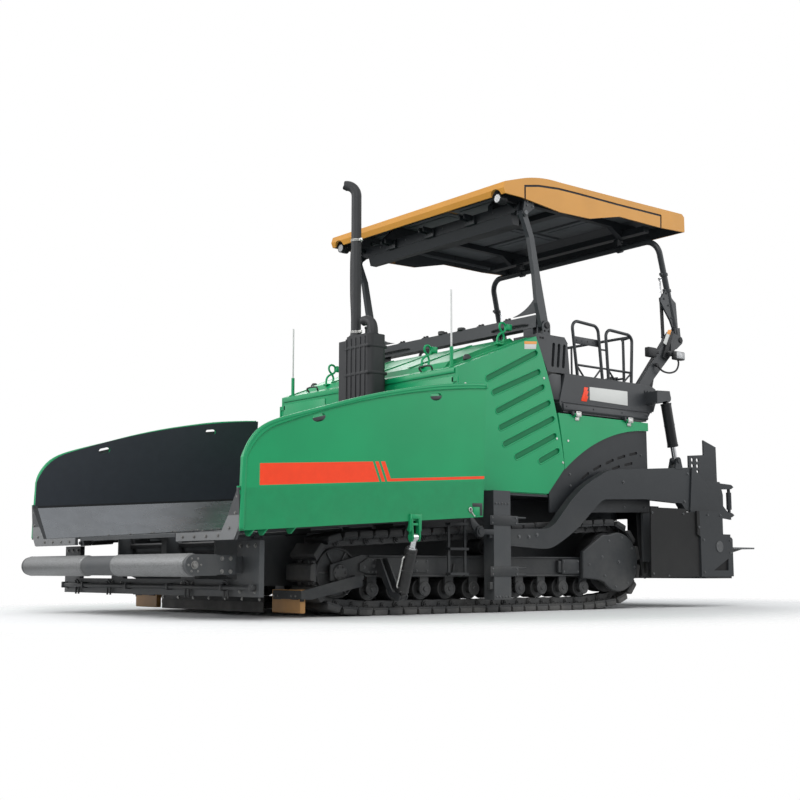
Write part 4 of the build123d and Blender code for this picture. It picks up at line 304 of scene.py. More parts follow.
def mixValue(tree, mask, a, b):
    node = addNode(tree, "ShaderNodeMapRange")
    wire(tree, mask, node.inputs["Value"])
    for label, value in (("To Min", a), ("To Max", b)):
        if isinstance(value, (int, float)):
            node.inputs[label].default_value = value
        else:
            wire(tree, value, node.inputs[label])
    return node.outputs["Result"]


def startMaterial(name):
    stuff = bpy.data.materials.new(name)
    stuff.use_nodes = True
    tree = stuff.node_tree
    return stuff, tree, tree.nodes["Principled BSDF"]


def addBump(tree, shader, height, strength, distance):
    bump = addNode(tree, "ShaderNodeBump", Strength=strength, Distance=distance)
    wire(tree, height, bump.inputs["Height"])
    wire(tree, bump.outputs["Normal"], shader.inputs["Normal"])


dustTone = (0.15, 0.145, 0.135, 1)


def shade(colour, factor):
    return tuple(min(1, part * factor) for part in colour[:3]) + (1,)


def paintMaterial(name, facts):
    stuff, tree, shader = startMaterial(name)
    skin = placeGroup(tree, paintSkin, **{"Peel Scale": facts.get("peel", 420)})
    wear = placeGroup(tree, edgeWear, Radius=facts.get("edge", 0.006), Amount=facts.get("wear", 0.6))
    dust = placeGroup(tree, settledDust,
                      **{"Low Amount": facts.get("low", 0.5), "Top Amount": facts.get("top", 0.15),
                                            "Reach": facts.get("reach", 1.0)})
    plain = mixColour(tree, rampNode(tree, skin.outputs["Tone"], 0.3, 0.7), shade(facts["colour"], 0.93),
                      shade(facts["colour"], 1.06))
    rubbed = mixColour(tree, wear.outputs["Wear"], plain, facts.get("under", shade(facts["colour"], 1.7)))
    dusty = mixColour(tree, dust.outputs["Dust"], rubbed, facts.get("dust", dustTone))
    wire(tree, dusty, shader.inputs["Base Color"])
    low, high = facts.get("gloss", (0.28, 0.42))
    shine = mixValue(tree, skin.outputs["Shine"], low, high)
    wire(tree, mixValue(tree, dust.outputs["Dust"], shine, 0.8), shader.inputs["Roughness"])
    shader.inputs["Specular IOR Level"].default_value = facts.get("mirror", 0.33)
    addBump(tree, shader, skin.outputs["Height"], facts.get("grain", 0.05), 0.0004)
    return stuff


def steelMaterial(name, facts):
    stuff, tree, shader = startMaterial(name)
    along = facts.get("along", (1, 1, 1))
    rub = placeGroup(tree, rubbedSteel, **{"Along X": along[0], "Along Y": along[1], "Along Z": along[2],
                                           "Scale": facts.get("scale", 40)})
    dust = placeGroup(tree, settledDust,
                      **{"Low Amount": facts.get("low", 0.4), "Top Amount": facts.get("top", 0.1),
                                            "Reach": facts.get("reach", 1.0)})
    streaks = mixColour(tree, rampNode(tree, rub.outputs["Streak"], 0.35, 0.65), shade(facts["colour"], 0.8),
                        shade(facts["colour"], 1.15))
    pitted = mixColour(tree, rub.outputs["Pits"], streaks, facts.get("pits", shade(facts["colour"], 0.55)))
    wire(tree, mixColour(tree, dust.outputs["Dust"], pitted, facts.get("dust", dustTone)),
         shader.inputs["Base Color"])
    wire(tree, mixValue(tree, dust.outputs["Dust"], facts.get("metal", 0.9), 0.1), shader.inputs["Metallic"])
    low, high = facts.get("gloss", (0.25, 0.45))
    shine = mixValue(tree, rub.outputs["Streak"], low, high)
    wire(tree, mixValue(tree, dust.outputs["Dust"], shine, 0.85), shader.inputs["Roughness"])
    addBump(tree, shader, rub.outputs["Streak"], facts.get("grain", 0.15), 0.0006)
    return stuff


def rubberMaterial(name, facts):
    stuff, tree, shader = startMaterial(name)
    skin = placeGroup(tree, paintSkin, **{"Peel Scale": facts.get("peel", 260)})
    dust = placeGroup(tree, settledDust,
                      **{"Low Amount": facts.get("low", 0.5), "Top Amount": facts.get("top", 0.2)})
    tone = mixColour(tree, skin.outputs["Shine"], shade(facts["colour"], 0.8), shade(facts["colour"], 1.25))
    wire(tree, mixColour(tree, dust.outputs["Dust"], tone, facts.get("dust", dustTone)),
         shader.inputs["Base Color"])
    low, high = facts.get("gloss", (0.5, 0.7))
    wire(tree, mixValue(tree, skin.outputs["Shine"], low, high), shader.inputs["Roughness"])
    addBump(tree, shader, skin.outputs["Height"], facts.get("grain", 0.25), 0.0008)
    return stuff


def lensMaterial(name, facts):
    # clear ribbed glass over a bright bowl; the bowl's reflection is painted into the colour, banded by the
    # ribs
    stuff, tree, shader = startMaterial(name)
    coords = addNode(tree, "ShaderNodeTexCoord")
    parts = addNode(tree, "ShaderNodeSeparateXYZ")
    wire(tree, coords.outputs["Object"], parts.inputs[0])
    ribs = [mathNode(tree, "SINE", mathNode(tree, "MULTIPLY", parts.outputs[axis], 520)) for axis in "YZ"]
    both = mathNode(tree, "ADD", *ribs)
    wire(tree, mixColour(tree, rampNode(tree, both, -1.2, 1.2), facts["low"], facts["high"]),
         shader.inputs["Base Color"])
    for label, value in (("Roughness", 0.12), ("Coat Weight", 0.8), ("Coat Roughness", 0.04)):
        shader.inputs[label].default_value = value
    addBump(tree, shader, both, 0.3, 0.001)
    return stuff


paintLooks = {
    "bodyGreen": {"colour": (0.004, 0.3, 0.112, 1), "gloss": (0.26, 0.4), "low": 0.25, "top": 0.1,
                  "wear": 0.35, "under": (0.16, 0.46, 0.3, 1)},
    "roofOchre": {"colour": (0.56, 0.27, 0.052, 1), "gloss": (0.3, 0.42), "low": 0, "top": 0.12,
                  "wear": 0.2, "under": (0.85, 0.6, 0.3, 1), "peel": 260},
    "frameGrey": {"colour": (0.016, 0.019, 0.0225, 1), "gloss": (0.36, 0.52), "low": 0.32, "top": 0.12,
                  "wear": 0.55, "under": (0.1, 0.107, 0.114, 1)},
    # a lighter copy of the frame grey for the main frame and push beam: painted fill light on parts in shade
    "beamGrey": {"colour": (0.044, 0.049, 0.054, 1), "gloss": (0.36, 0.52), "low": 0.32, "top": 0.12,
                 "wear": 0.55, "under": (0.13, 0.137, 0.145, 1)},
    "deepGrey": {"colour": (0.009, 0.01, 0.012, 1), "gloss": (0.42, 0.6), "low": 0.22, "top": 0.1,
                 "wear": 0.4, "under": (0.1, 0.105, 0.11, 1)},
    "panelGrey": {"colour": (0.036, 0.039, 0.043, 1), "gloss": (0.34, 0.48), "low": 0.3, "top": 0.12,
                  "wear": 0.5, "under": (0.13, 0.137, 0.145, 1)},
    "screedGrey": {"colour": (0.022, 0.0255, 0.029, 1), "gloss": (0.36, 0.55), "low": 0.35, "top": 0.16,
                   "wear": 0.6, "under": (0.11, 0.117, 0.124, 1)},
    "cylinderBlack": {"colour": (0.011, 0.012, 0.014, 1), "gloss": (0.28, 0.42), "low": 0.25, "top": 0.1},
    "stackGrey": {"colour": (0.026, 0.0275, 0.03, 1), "gloss": (0.45, 0.62), "low": 0, "top": 0.1,
                  "peel": 700, "grain": 0.14},
    "railGrey": {"colour": (0.03, 0.034, 0.038, 1), "gloss": (0.3, 0.42), "low": 0, "top": 0.06,
                 "wear": 0.7, "under": (0.14, 0.147, 0.155, 1)},
    "stripeOrange": {"colour": (0.95, 0.058, 0.01, 1), "gloss": (0.3, 0.4), "low": 0.12, "top": 0.05,
                     "wear": 0},
    "plainWhite": {"colour": (0.62, 0.63, 0.62, 1), "gloss": (0.35, 0.5), "low": 0.1, "top": 0.1,
                   "wear": 0},
    "signOrange": {"colour": (0.86, 0.36, 0.08, 1), "gloss": (0.35, 0.5), "low": 0.1, "top": 0.1,
                   "wear": 0},
    "flangeSteel": {"colour": (0.155, 0.16, 0.165, 1), "gloss": (0.34, 0.5), "low": 0.2, "wear": 0.8,
                    "under": (0.4, 0.41, 0.42, 1)},
    "plateWhite": {"colour": (0.66, 0.67, 0.65, 1), "gloss": (0.35, 0.5), "low": 0, "wear": 0},
    # near-black for the painted shadow under the cowl and the painted shade in the exhaust throat
    "sootBlack": {"colour": (0.006, 0.006, 0.007, 1), "gloss": (0.8, 0.95), "low": 0, "wear": 0},
    "liningGrey": {"colour": (0.085, 0.092, 0.1, 1), "gloss": (0.45, 0.6), "low": 0, "wear": 0.2,
                   "grain": 0.12},
    "screenGlass": {"colour": (0.01, 0.014, 0.018, 1), "gloss": (0.06, 0.12), "low": 0, "top": 0.05,
                    "wear": 0, "grain": 0.01},
    "rimGreen": {"colour": (0.006, 0.275, 0.105, 1), "gloss": (0.24, 0.36), "low": 0.1, "top": 0.1,
                 "wear": 0.5, "under": (0.14, 0.42, 0.27, 1)},
}
steelLooks = {
    "trackSteel": {"colour": (0.03, 0.032, 0.035, 1), "metal": 0.5, "gloss": (0.4, 0.62), "low": 0.3,
                   "top": 0.18, "reach": 0.8, "grain": 0.3},
    "rollerSteel": {"colour": (0.2, 0.206, 0.21, 1), "metal": 0.85, "gloss": (0.3, 0.5),
                    "along": (9, 0.6, 9), "low": 0.25, "top": 0.1},
    "boltZinc": {"colour": (0.22, 0.22, 0.215, 1), "metal": 0.8, "gloss": (0.3, 0.5), "low": 0.2},
    "latchSteel": {"colour": (0.62, 0.62, 0.6, 1), "metal": 0.6, "gloss": (0.3, 0.45), "low": 0},
    "rodChrome": {"colour": (0.72, 0.73, 0.75, 1), "metal": 1.0, "gloss": (0.06, 0.16), "low": 0.1,
                  "along": (1, 1, 14), "grain": 0.03},
    "engineIron": {"colour": (0.05, 0.05, 0.053, 1), "metal": 0.4, "gloss": (0.5, 0.7), "low": 0.2},
    "treadPlate": {"colour": (0.12, 0.125, 0.13, 1), "metal": 0.7, "gloss": (0.32, 0.5), "low": 0.25,
                   "top": 0.25, "reach": 1.5},
    "steelDark": {"colour": (0.16, 0.165, 0.17, 1), "metal": 0.7, "gloss": (0.4, 0.6), "low": 0.3},
    "boltDark": {"colour": (0.105, 0.11, 0.115, 1), "metal": 0.6, "gloss": (0.4, 0.6), "low": 0.25},
    "linkSteel": {"colour": (0.045, 0.047, 0.05, 1), "metal": 0.6, "gloss": (0.35, 0.6), "low": 0.3,
                  "top": 0.2, "grain": 0.3},
}
rubberLooks = {
    "apronRubber": {"colour": (0.016, 0.016, 0.017, 1), "low": 0.45},
    "gripBlack": {"colour": (0.02, 0.02, 0.022, 1), "low": 0, "top": 0.05, "gloss": (0.4, 0.55)},
    "mouldedBlack": {"colour": (0.028, 0.029, 0.031, 1), "low": 0, "top": 0.12, "gloss": (0.42, 0.58),
                     "grain": 0.15},
    "scraperAmber": {"colour": (0.4, 0.2, 0.055, 1), "low": 0.15, "top": 0.1, "gloss": (0.35, 0.5),
                     "grain": 0.1, "peel": 90},
    "seatVinyl": {"colour": (0.022, 0.023, 0.026, 1), "low": 0, "top": 0.08, "gloss": (0.38, 0.5),
                  "peel": 520, "grain": 0.4},
    "padRubber": {"colour": (0.021, 0.022, 0.024, 1), "low": 0.5, "top": 0.25, "gloss": (0.55, 0.8),
                  "grain": 0.5, "peel": 130},
}
looks = {}
for make, table in ((paintMaterial, paintLooks), (steelMaterial, steelLooks), (rubberMaterial, rubberLooks)):
    looks.update({name: make(name, facts) for name, facts in table.items()})
# dark and bright bands of the lenses: painted reflection of the bowl
bowlReflection = {"low": (0.10, 0.105, 0.11, 1), "high": (0.42, 0.43, 0.44, 1)}
looks["lensGlass"] = lensMaterial("lensGlass", bowlReflection)
print("materials")

# finishes of the carried-over frame pieces

nodeLooks = {
    "frameGrey": "fenders roof_frame auger_frame track_frames ladders",
    "bodyGreen": "side_flap_left side_flap_right hood side_door_left side_door_right hopper_wing_left "
                 "hopper_wing_right",
    "roofOchre": "canopy_roof",
    "deepGrey": "hopper_back screed_ends work_lamps",
    # painted fill light on the shaded beam and frame
    "beamGrey": "main_frame push_beam",
    "railGrey": "canopy_beam front_posts rear_hoop seat_frames handrails",
    "panelGrey": "canopy_arms platform side_consoles",
    "screedGrey": "tow_arms screed drive_covers",
    "trackSteel": "track_left track_right track_wheels auger_left auger_right conveyors",
    "engineIron": "engine",
    "rollerSteel": "push_roller_left push_roller_right",
    "treadPlate": "walkway",
    "cylinderBlack": "wing_barrel_left wing_barrel_right lift_barrels strut_barrels",
    "rodChrome": "wing_stage_left wing_stage_right wing_rod_left wing_rod_right lift_rods strut_rods",
    "scraperAmber": "scraper_blocks",
    "apronRubber": "front_apron",
    "stackGrey": "exhaust",
    "mouldedBlack": "control_console",
    "plainWhite": "marker_rods",
    "seatVinyl": "seat_cushions",
}


def dressNodes(table):
    for look, names in table.items():
        for node in [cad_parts[name] for name in names.split()]:
            if not node.material_slots:
                node.data.materials.append(looks[look])
            for holder in node.material_slots:
                holder.material = looks[look]


dressNodes(nodeLooks)
print("frame pieces dressed")

# shapes: each tool adds to one bmesh, with sizes in millimetres


def roundEdges(shape, faces, size, rings=2, least=25):
    if size <= 0:
        return
    edges = {edge for face in faces for edge in face.edges}
    sharp = [edge for edge in edges if len(edge.link_faces) == 2
             and edge.calc_face_angle(0) > math.radians(least)]
    bmesh.ops.bevel(shape, geom=sharp, offset=size, segments=rings, profile=0.5, affect="EDGES",
                    clamp_overlap=True)


def solid(shape, rows, soft=0, rings=2):
    # closed solid between two matching outlines
    low = [shape.verts.new(point) for point in rows[0]]
    high = [shape.verts.new(point) for point in rows[1]]
    count = len(low)
    faces = [shape.faces.new(low[::-1]), shape.faces.new(high)]
    for k in range(count):
        faces.append(shape.faces.new((low[k], low[(k + 1) % count], high[(k + 1) % count], high[k])))
    bmesh.ops.recalc_face_normals(shape, faces=faces)
    roundEdges(shape, faces, soft, rings)


def plate(shape, outline, place, thick, soft=2, rings=2):
    # outline seen from the side, about a place, with its thickness across the machine
    x, y, z = place
    levels = (y - thick / 2, y + thick / 2)
    solid(shape, [[(x + a, level, z + b) for a, b in outline] for level in levels], soft, rings)


def bar(shape, outline, depth, soft=2, rings=2):
    # outline across the machine, drawn out forwards
    solid(shape, [outline, [(x + depth, y, z) for x, y, z in outline]], soft, rings)


def block(shape, low, high, soft=3, rings=2):
    (x0, y0, z0), (x1, y1, z1) = low, high
    y0, y1 = min(y0, y1), max(y0, y1)
    rows = [[(x0, y0, z), (x1, y0, z), (x1, y1, z), (x0, y1, z)] for z in (z0, z1)]
    solid(shape, rows, soft, rings)


def crossFrame(way):
    way = Vector(way).normalized()
    side = way.cross(Vector((0, 0, 1)) if abs(way.z) < 0.9 else Vector((1, 0, 0))).normalized()
    return way, side, side.cross(way)


def rod(shape, start, end, radius, sides=20, soft=1.5, tip=None):
    start, end = Vector(start), Vector(end)
    way, side, up = crossFrame(end - start)
    rows = []
    for middle, size in ((start, radius), (end, radius if tip is None else tip)):
        angles = [2 * math.pi * k / sides for k in range(sides)]
        rows.append([middle + (side * math.cos(a) + up * math.sin(a)) * size for a in angles])
    solid(shape, rows, min(soft, radius * 0.4), 1)


def bolts(shape, places, way, radius=9, head=None):
    # washers with hexagon heads
    way = Vector(way).normalized()
    head = head or radius * 0.75
    for place in places:
        place = Vector(place)
        rod(shape, place - way, place + way * 2, radius * 1.45, 16, 0.6)
        rod(shape, place, place + way * (2 + head), radius, 6, 1.2)


def ring(shape, middle, way, major, minor, steps=32, sides=10):
    middle = Vector(middle)
    way, side, up = crossFrame(way)
    rows = []
    for k in range(steps):
        turn = 2 * math.pi * k / steps
        out = side * math.cos(turn) + up * math.sin(turn)
        rows.append([shape.verts.new(middle + out * (major + minor * math.cos(2 * math.pi * j / sides))
                                     + way * (minor * math.sin(2 * math.pi * j / sides)))
                                     for j in range(sides)])
    joinRows(shape, rows, True)


def joinRows(shape, rows, closed=False):
    sides = len(rows[0])
    faces = []
    for one, two in zip(rows, rows[1:] + (rows[:1] if closed else [])):
        for j in range(sides):
            faces.append(shape.faces.new((one[j], one[(j + 1) % sides], two[(j + 1) % sides], two[j])))
    if not closed:
        faces += [shape.faces.new(rows[0][::-1]), shape.faces.new(rows[-1])]
    bmesh.ops.recalc_face_normals(shape, faces=faces)


def smoothPath(points, steps):
    # rounded path that runs through its points
    points = [Vector(point) for point in points]
    ends = [points[0] * 2 - points[1]] + points + [points[-1] * 2 - points[-2]]
    path = []
    for k in range(1, len(ends) - 2):
        a, b, c, d = ends[k - 1:k + 3]
        for j in range(steps):
            t = j / steps
            path.append(0.5 * (2 * b + (c - a) * t + (2 * a - 5 * b + 4 * c - d) * t * t
                               + (3 * b - a - 3 * c + d) * t ** 3))
    return path + [points[-1]]


def pipe(shape, points, radius, sides=12, steps=5):
    path = smoothPath(points, steps)
    rows = []
    side = crossFrame(path[1] - path[0])[1]
    for k, middle in enumerate(path):
        way = (path[min(k + 1, len(path) - 1)] - path[max(k - 1, 0)]).normalized()
        side = (side - way * side.dot(way)).normalized()
        up = way.cross(side)
        angles = [2 * math.pi * j / sides for j in range(sides)]
        rows.append([shape.verts.new(middle + (side * math.cos(a) + up * math.sin(a)) * radius)
                     for a in angles])
    joinRows(shape, rows)


def spots(y, *pairs):
    return [(x, y, z) for x, z in pairs]


def line(first, last, count):
    first, last = Vector(first), Vector(last)
    return [tuple(first.lerp(last, k / (count - 1))) for k in range(count)]


def circle(middle, radius, count, turn=0, squash=1):
    # places round a circle that is seen from the side
    x, y, z = middle
    angles = [turn + 2 * math.pi * k / count for k in range(count)]
    return [(x + radius * math.cos(a), y, z + radius * squash * math.sin(a)) for a in angles]


def makePiece(name, shape, look, body, slot, angle=32, flip=False):
    mesh = bpy.data.meshes.new(name)
    shape.to_mesh(mesh)
    mesh.transform(Matrix.Diagonal((0.001, -0.001 if flip else 0.001, 0.001, 1)))
    if flip:
        mesh.flip_normals()
    mesh.shade_smooth()
    mesh.set_sharp_from_angle(angle=math.radians(angle))
    piece = bpy.data.objects.new(name, mesh)
    bpy.context.collection.objects.link(piece)
    mesh.materials.append(looks[look])
    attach(piece, body)
    return piece


def makePair(name, shape, look, body, slot, angle=32):
    # the left piece, and its mirror image on the body of the other side
    makePiece(name + "_left", shape, look, body + "_left", slot, angle)
    makePiece(name + "_right", shape, look, body + "_right", slot, angle, True)


def flipped(fact, side):
    # a place, a way or a list of them, taken to one side of the machine
    if isinstance(fact, list):
        return [flipped(part, side) for part in fact]
    if isinstance(fact, tuple) and len(fact) == 3:
        return fact[0], fact[1] * side, fact[2]
    return fact


def dress(name, look, once=(), both=(), body="tractor", slot="frame_paint", angle=32, pair=False):
    # a piece from rows of a tool and its facts; the rows of both are built on either side
    shape = bmesh.new()
    for side, rows in ((1, both), (-1, both), (1, once)):
        for tool, *facts in rows:
            tool(shape, *[flipped(fact, side) for fact in facts])
    (makePair if pair else makePiece)(name, shape, look, body, slot, angle)

# finishes that change over one frame piece, masked by place and by the way a face looks


def placeAndWay(tree):
    coords = addNode(tree, "ShaderNodeTexCoord")
    spot = addNode(tree, "ShaderNodeSeparateXYZ")
    wire(tree, coords.outputs["Object"], spot.inputs[0])
    way = addNode(tree, "ShaderNodeSeparateXYZ")
    wire(tree, coords.outputs["Normal"], way.inputs[0])
    return spot.outputs, way.outputs


def above(tree, value, limit):
    return mathNode(tree, "GREATER_THAN", value, limit)


def below(tree, value, limit):
    return mathNode(tree, "LESS_THAN", value, limit)


def allOf(tree, *masks):
    both = masks[0]
    for mask in masks[1:]:
        both = mathNode(tree, "MULTIPLY", both, mask)
    return both


def anyOf(tree, *masks):
    one = masks[0]
    for mask in masks[1:]:
        one = mathNode(tree, "MAXIMUM", one, mask)
    return one


def makeWingZones():
    # outside paint, dark lining, rubbed steel and painted shade on the underside of a wing, with its stripe
    group, source, sink = newGroup("wingZones",
                                   {"Wall": 1.648, "Bend": 0.29, "Floor": 0.6180, "Rise": 0.0677},
                                   ["Lining", "Steel", "Under", "Stripe", "Crease Shade", "Flange"])
    spot, way = placeAndWay(group)
    y = mathNode(group, "ABSOLUTE", spot["Y"])
    back = mathNode(group, "SUBTRACT", 3.068, spot["X"])
    floor = mathNode(group, "ADD", mathNode(group, "MULTIPLY", back, source.outputs["Rise"]),
                     source.outputs["Floor"])
    height = mathNode(group, "SUBTRACT", spot["Z"], floor)
    inner = below(group, y, source.outputs["Wall"])
    low = mathNode(group, "LESS_THAN", height, source.outputs["Bend"])
    high = mathNode(group, "SUBTRACT", 1, low)
    flange = allOf(group, above(group, spot["X"], 3.035), low, below(group, y, 1.6665))
    wire(group, allOf(group, inner, high), sink.inputs["Lining"])
    up = above(group, way["Z"], 0.2)
    wire(group, allOf(group, inner, low, up), sink.inputs["Steel"])
    # low inner faces that don't look up get near-black: painted shade under the wing floor and in its corner
    # with the wall
    under = allOf(group, inner, low, mathNode(group, "SUBTRACT", 1, up))
    wire(group, under, sink.inputs["Under"])
    wire(group, flange, sink.inputs["Flange"])
    # the stripe and the fold under it rise rearwards with the hopper floor; below the fold the green is
    # darkened as painted shade
    outer = above(group, y, 1.6690)
    lift = mathNode(group, "ADD", spot["Z"],
                    mathNode(group, "MULTIPLY", mathNode(group, "SUBTRACT", spot["X"], 2.915), 0.0662))
    slant = mathNode(group, "SUBTRACT", spot["X"], mathNode(group, "MULTIPLY", spot["Z"], 0.43))
    band = allOf(group, outer, above(group, lift, 0.930), below(group, lift, 1.081),
                 below(group, spot["X"], 2.910))
    parts = [above(group, slant, 1.419)]
    for lowX, highX in ((1.362, 1.395), (1.298, 1.338)):
        parts.append(allOf(group, above(group, slant, lowX), below(group, slant, highX)))
    line = allOf(group, outer, below(group, slant, 1.34), above(group, spot["X"], 0.742),
                 below(group, lift, 0.951), above(group, lift, 0.930))
    wire(group, anyOf(group, line, allOf(group, band, anyOf(group, *parts))), sink.inputs["Stripe"])
    foldShade = rampNode(group, lift, 0.924, 0.906)
    wire(group, allOf(group, outer, foldShade), sink.inputs["Crease Shade"])
    return group


wingZones = makeWingZones()


def layered(tree, shader, base, layers, gloss, metal=None, dust=None, wear=0.4, under=None):
    # base colour with masked layers, each (mask, colour, roughness)
    skin = placeGroup(tree, paintSkin, **{"Peel Scale": 420})
    edge = placeGroup(tree, edgeWear, Radius=0.006, Amount=wear)
    veil = placeGroup(tree, settledDust,
                      **{"Low Amount": 0.3, "Top Amount": 0.1, "Reach": 1.0, **(dust or {})})
    tone = mixColour(tree, rampNode(tree, skin.outputs["Tone"], 0.3, 0.7), shade(base, 0.93),
                     shade(base, 1.06))
    worn = mixColour(tree, edge.outputs["Wear"], tone, under or shade(base, 1.8))
    rough = mixValue(tree, skin.outputs["Shine"], gloss[0], gloss[1])
    for mask, colour, dull in layers:
        drift = mixColour(tree, skin.outputs["Shine"], shade(colour, 0.82), shade(colour, 1.15))
        worn = mixColour(tree, mask, worn, drift)
        rough = mixValue(tree, mask, rough, dull)
    wire(tree, mixColour(tree, veil.outputs["Dust"], worn, dustTone), shader.inputs["Base Color"])
    wire(tree, mixValue(tree, veil.outputs["Dust"], rough, 0.8), shader.inputs["Roughness"])
    if metal is not None:
        wire(tree, metal, shader.inputs["Metallic"])
    shader.inputs["Specular IOR Level"].default_value = 0.33
    addBump(tree, shader, skin.outputs["Height"], 0.05, 0.0004)


def wingMaterial(name, facts):
    stuff, tree, shader = startMaterial(name)
    zones = placeGroup(tree, wingZones)
    rub = placeGroup(tree, rubbedSteel, **{"Along X": 0.35, "Along Y": 1.6, "Along Z": 1.6, "Scale": 5})
    polish = rampNode(tree, rub.outputs["Streak"], 0.3, 0.72)
    steelRough = mixValue(tree, polish, 0.20, 0.34)
    layers = [
        (zones.outputs["Crease Shade"], facts["creaseShade"], 0.36),
        (zones.outputs["Stripe"], facts["stripe"], 0.34),
        (zones.outputs["Lining"], facts["lining"], 0.45),
        (zones.outputs["Steel"], facts["steel"], steelRough),
        (zones.outputs["Under"], facts["under"], 0.6),
        (zones.outputs["Flange"], facts["flange"], 0.42),
    ]
    metal = mathNode(tree, "MULTIPLY", zones.outputs["Steel"], 0.85)
    layered(tree, shader, facts["paint"], layers, (0.28, 0.4), metal, {"Low Amount": 0.16}, 0.25,
            facts["edge"])
    return stuff


# the darker green below the fold and the near-black underside of the wing are painted shade
looks["wingPaint"] = wingMaterial("wingPaint", {
    "paint": (0.003, 0.292, 0.106, 1), "creaseShade": (0.004, 0.255, 0.094, 1), "stripe": (0.97, 0.056, 0.010, 1),
    "lining": (0.029, 0.035, 0.044, 1), "steel": (0.20, 0.212, 0.228, 1), "under": (0.014, 0.016, 0.018, 1),
    "flange": (0.055, 0.058, 0.062, 1), "edge": (0.16, 0.46, 0.30, 1)})


def roofMaterial(name, facts):
    stuff, tree, shader = startMaterial(name)
    spot, way = placeAndWay(tree)
    y = mathNode(tree, "ABSOLUTE", spot["Y"])
    inner = allOf(tree, below(tree, y, 1.2515), below(tree, spot["X"], 0.0868),
                  above(tree, spot["X"], -2.4265), below(tree, spot["Z"], 3.8505),
                  below(tree, way["Z"], 0.2))
    # darker ochre strips under the roof, and near-black in the side groove and in the gap between the
    # ceiling panels: painted shade
    strip = allOf(tree, inner, below(tree, y, 0.09), above(tree, spot["X"], -0.5))
    shadedStrip2 = allOf(tree, inner,
                   below(tree, mathNode(tree, "ABSOLUTE", mathNode(tree, "ADD", spot["X"], 0.66)), 0.07))
    groove = allOf(tree, above(tree, y, 1.2575), below(tree, y, 1.2640), above(tree, spot["Z"], 3.60),
                   below(tree, spot["X"], -0.12), above(tree, spot["X"], -2.10))
    line = allOf(tree, inner,
                 below(tree, mathNode(tree, "ABSOLUTE", mathNode(tree, "ADD", spot["X"], 1.6)), 0.006))
    layers = [(inner, facts["lining"], 0.55), (anyOf(tree, strip, shadedStrip2), facts["strip"], 0.5),
              (line, facts["groove"], 0.6), (groove, facts["groove"], 0.6)]
    layered(tree, shader, facts["paint"], layers, (0.32, 0.44), None, {"Low Amount": 0, "Top Amount": 0.08},
            0.15, facts["edge"])
    return stuff


# the strip and groove colours are painted shade
looks["roofPaint"] = roofMaterial("roofPaint", {
    "paint": (0.580, 0.268, 0.040, 1), "lining": (0.034, 0.038, 0.043, 1), "strip": (0.25, 0.12, 0.03, 1),
    "groove": (0.012, 0.012, 0.014, 1), "edge": (0.8, 0.55, 0.28, 1)})


def slottedMaterial(name, facts):
    # paint with painted shade, a darker colour, in the cuts under one outer face
    stuff, tree, shader = startMaterial(name)
    spot, way = placeAndWay(tree)
    y = mathNode(tree, "ABSOLUTE", spot["Y"])
    deepShade = allOf(tree, above(tree, y, facts["from"]), below(tree, y, facts["to"]),
                 above(tree, mathNode(tree, "ABSOLUTE", way["Y"]), 0.5))
    layered(tree, shader, facts["paint"], [(deepShade, facts["inside"], 0.6)], facts["gloss"], None,
            facts["dust"], facts["wear"], facts["edge"])
    return stuff


# the near-black in the fender slots and the darker green in the door louvres are painted shade
looks["fenderPaint"] = slottedMaterial("fenderPaint", {
    "paint": (0.018, 0.021, 0.0245, 1), "inside": (0.004, 0.004, 0.005, 1), "from": 1.246, "to": 1.2525,
    "gloss": (0.36, 0.5), "dust": {"Low Amount": 0.3, "Reach": 1.1}, "wear": 0.4,
    "edge": (0.09, 0.097, 0.104, 1)})
looks["doorPaint"] = slottedMaterial("doorPaint", {
    "paint": (0.004, 0.305, 0.115, 1), "inside": (0.004, 0.180, 0.068, 1), "from": 1.2660, "to": 1.2700,
    "gloss": (0.28, 0.4), "dust": {"Low Amount": 0.12}, "wear": 0.25, "edge": (0.16, 0.46, 0.30, 1)})


def endPlateMaterial(name, facts):
    stuff, tree, shader = startMaterial(name)
    spot, way = placeAndWay(tree)
    # the near-black front zone stands for the shaded opening there, and the near-black pocket for shade in
    # its recess: painted shade
    front = above(tree, spot["X"], -2.275)
    y = mathNode(tree, "ABSOLUTE", spot["Y"])
    pocketShade = allOf(tree, below(tree, y, 1.4485), above(tree, y, 1.4460))
    layered(tree, shader, facts["paint"], [(front, facts["front"], 0.6), (pocketShade, facts["pocketShade"], 0.7)],
            (0.38, 0.52), None, {"Low Amount": 0.08}, 0.5, facts["edge"])
    return stuff


# front and pocket colours are painted shade
looks["endPaint"] = endPlateMaterial("endPaint", {
    "paint": (0.022, 0.0255, 0.029, 1), "front": (0.004, 0.0045, 0.005, 1),
    "pocketShade": (0.004, 0.004, 0.005, 1),
    "edge": (0.10, 0.107, 0.114, 1)})


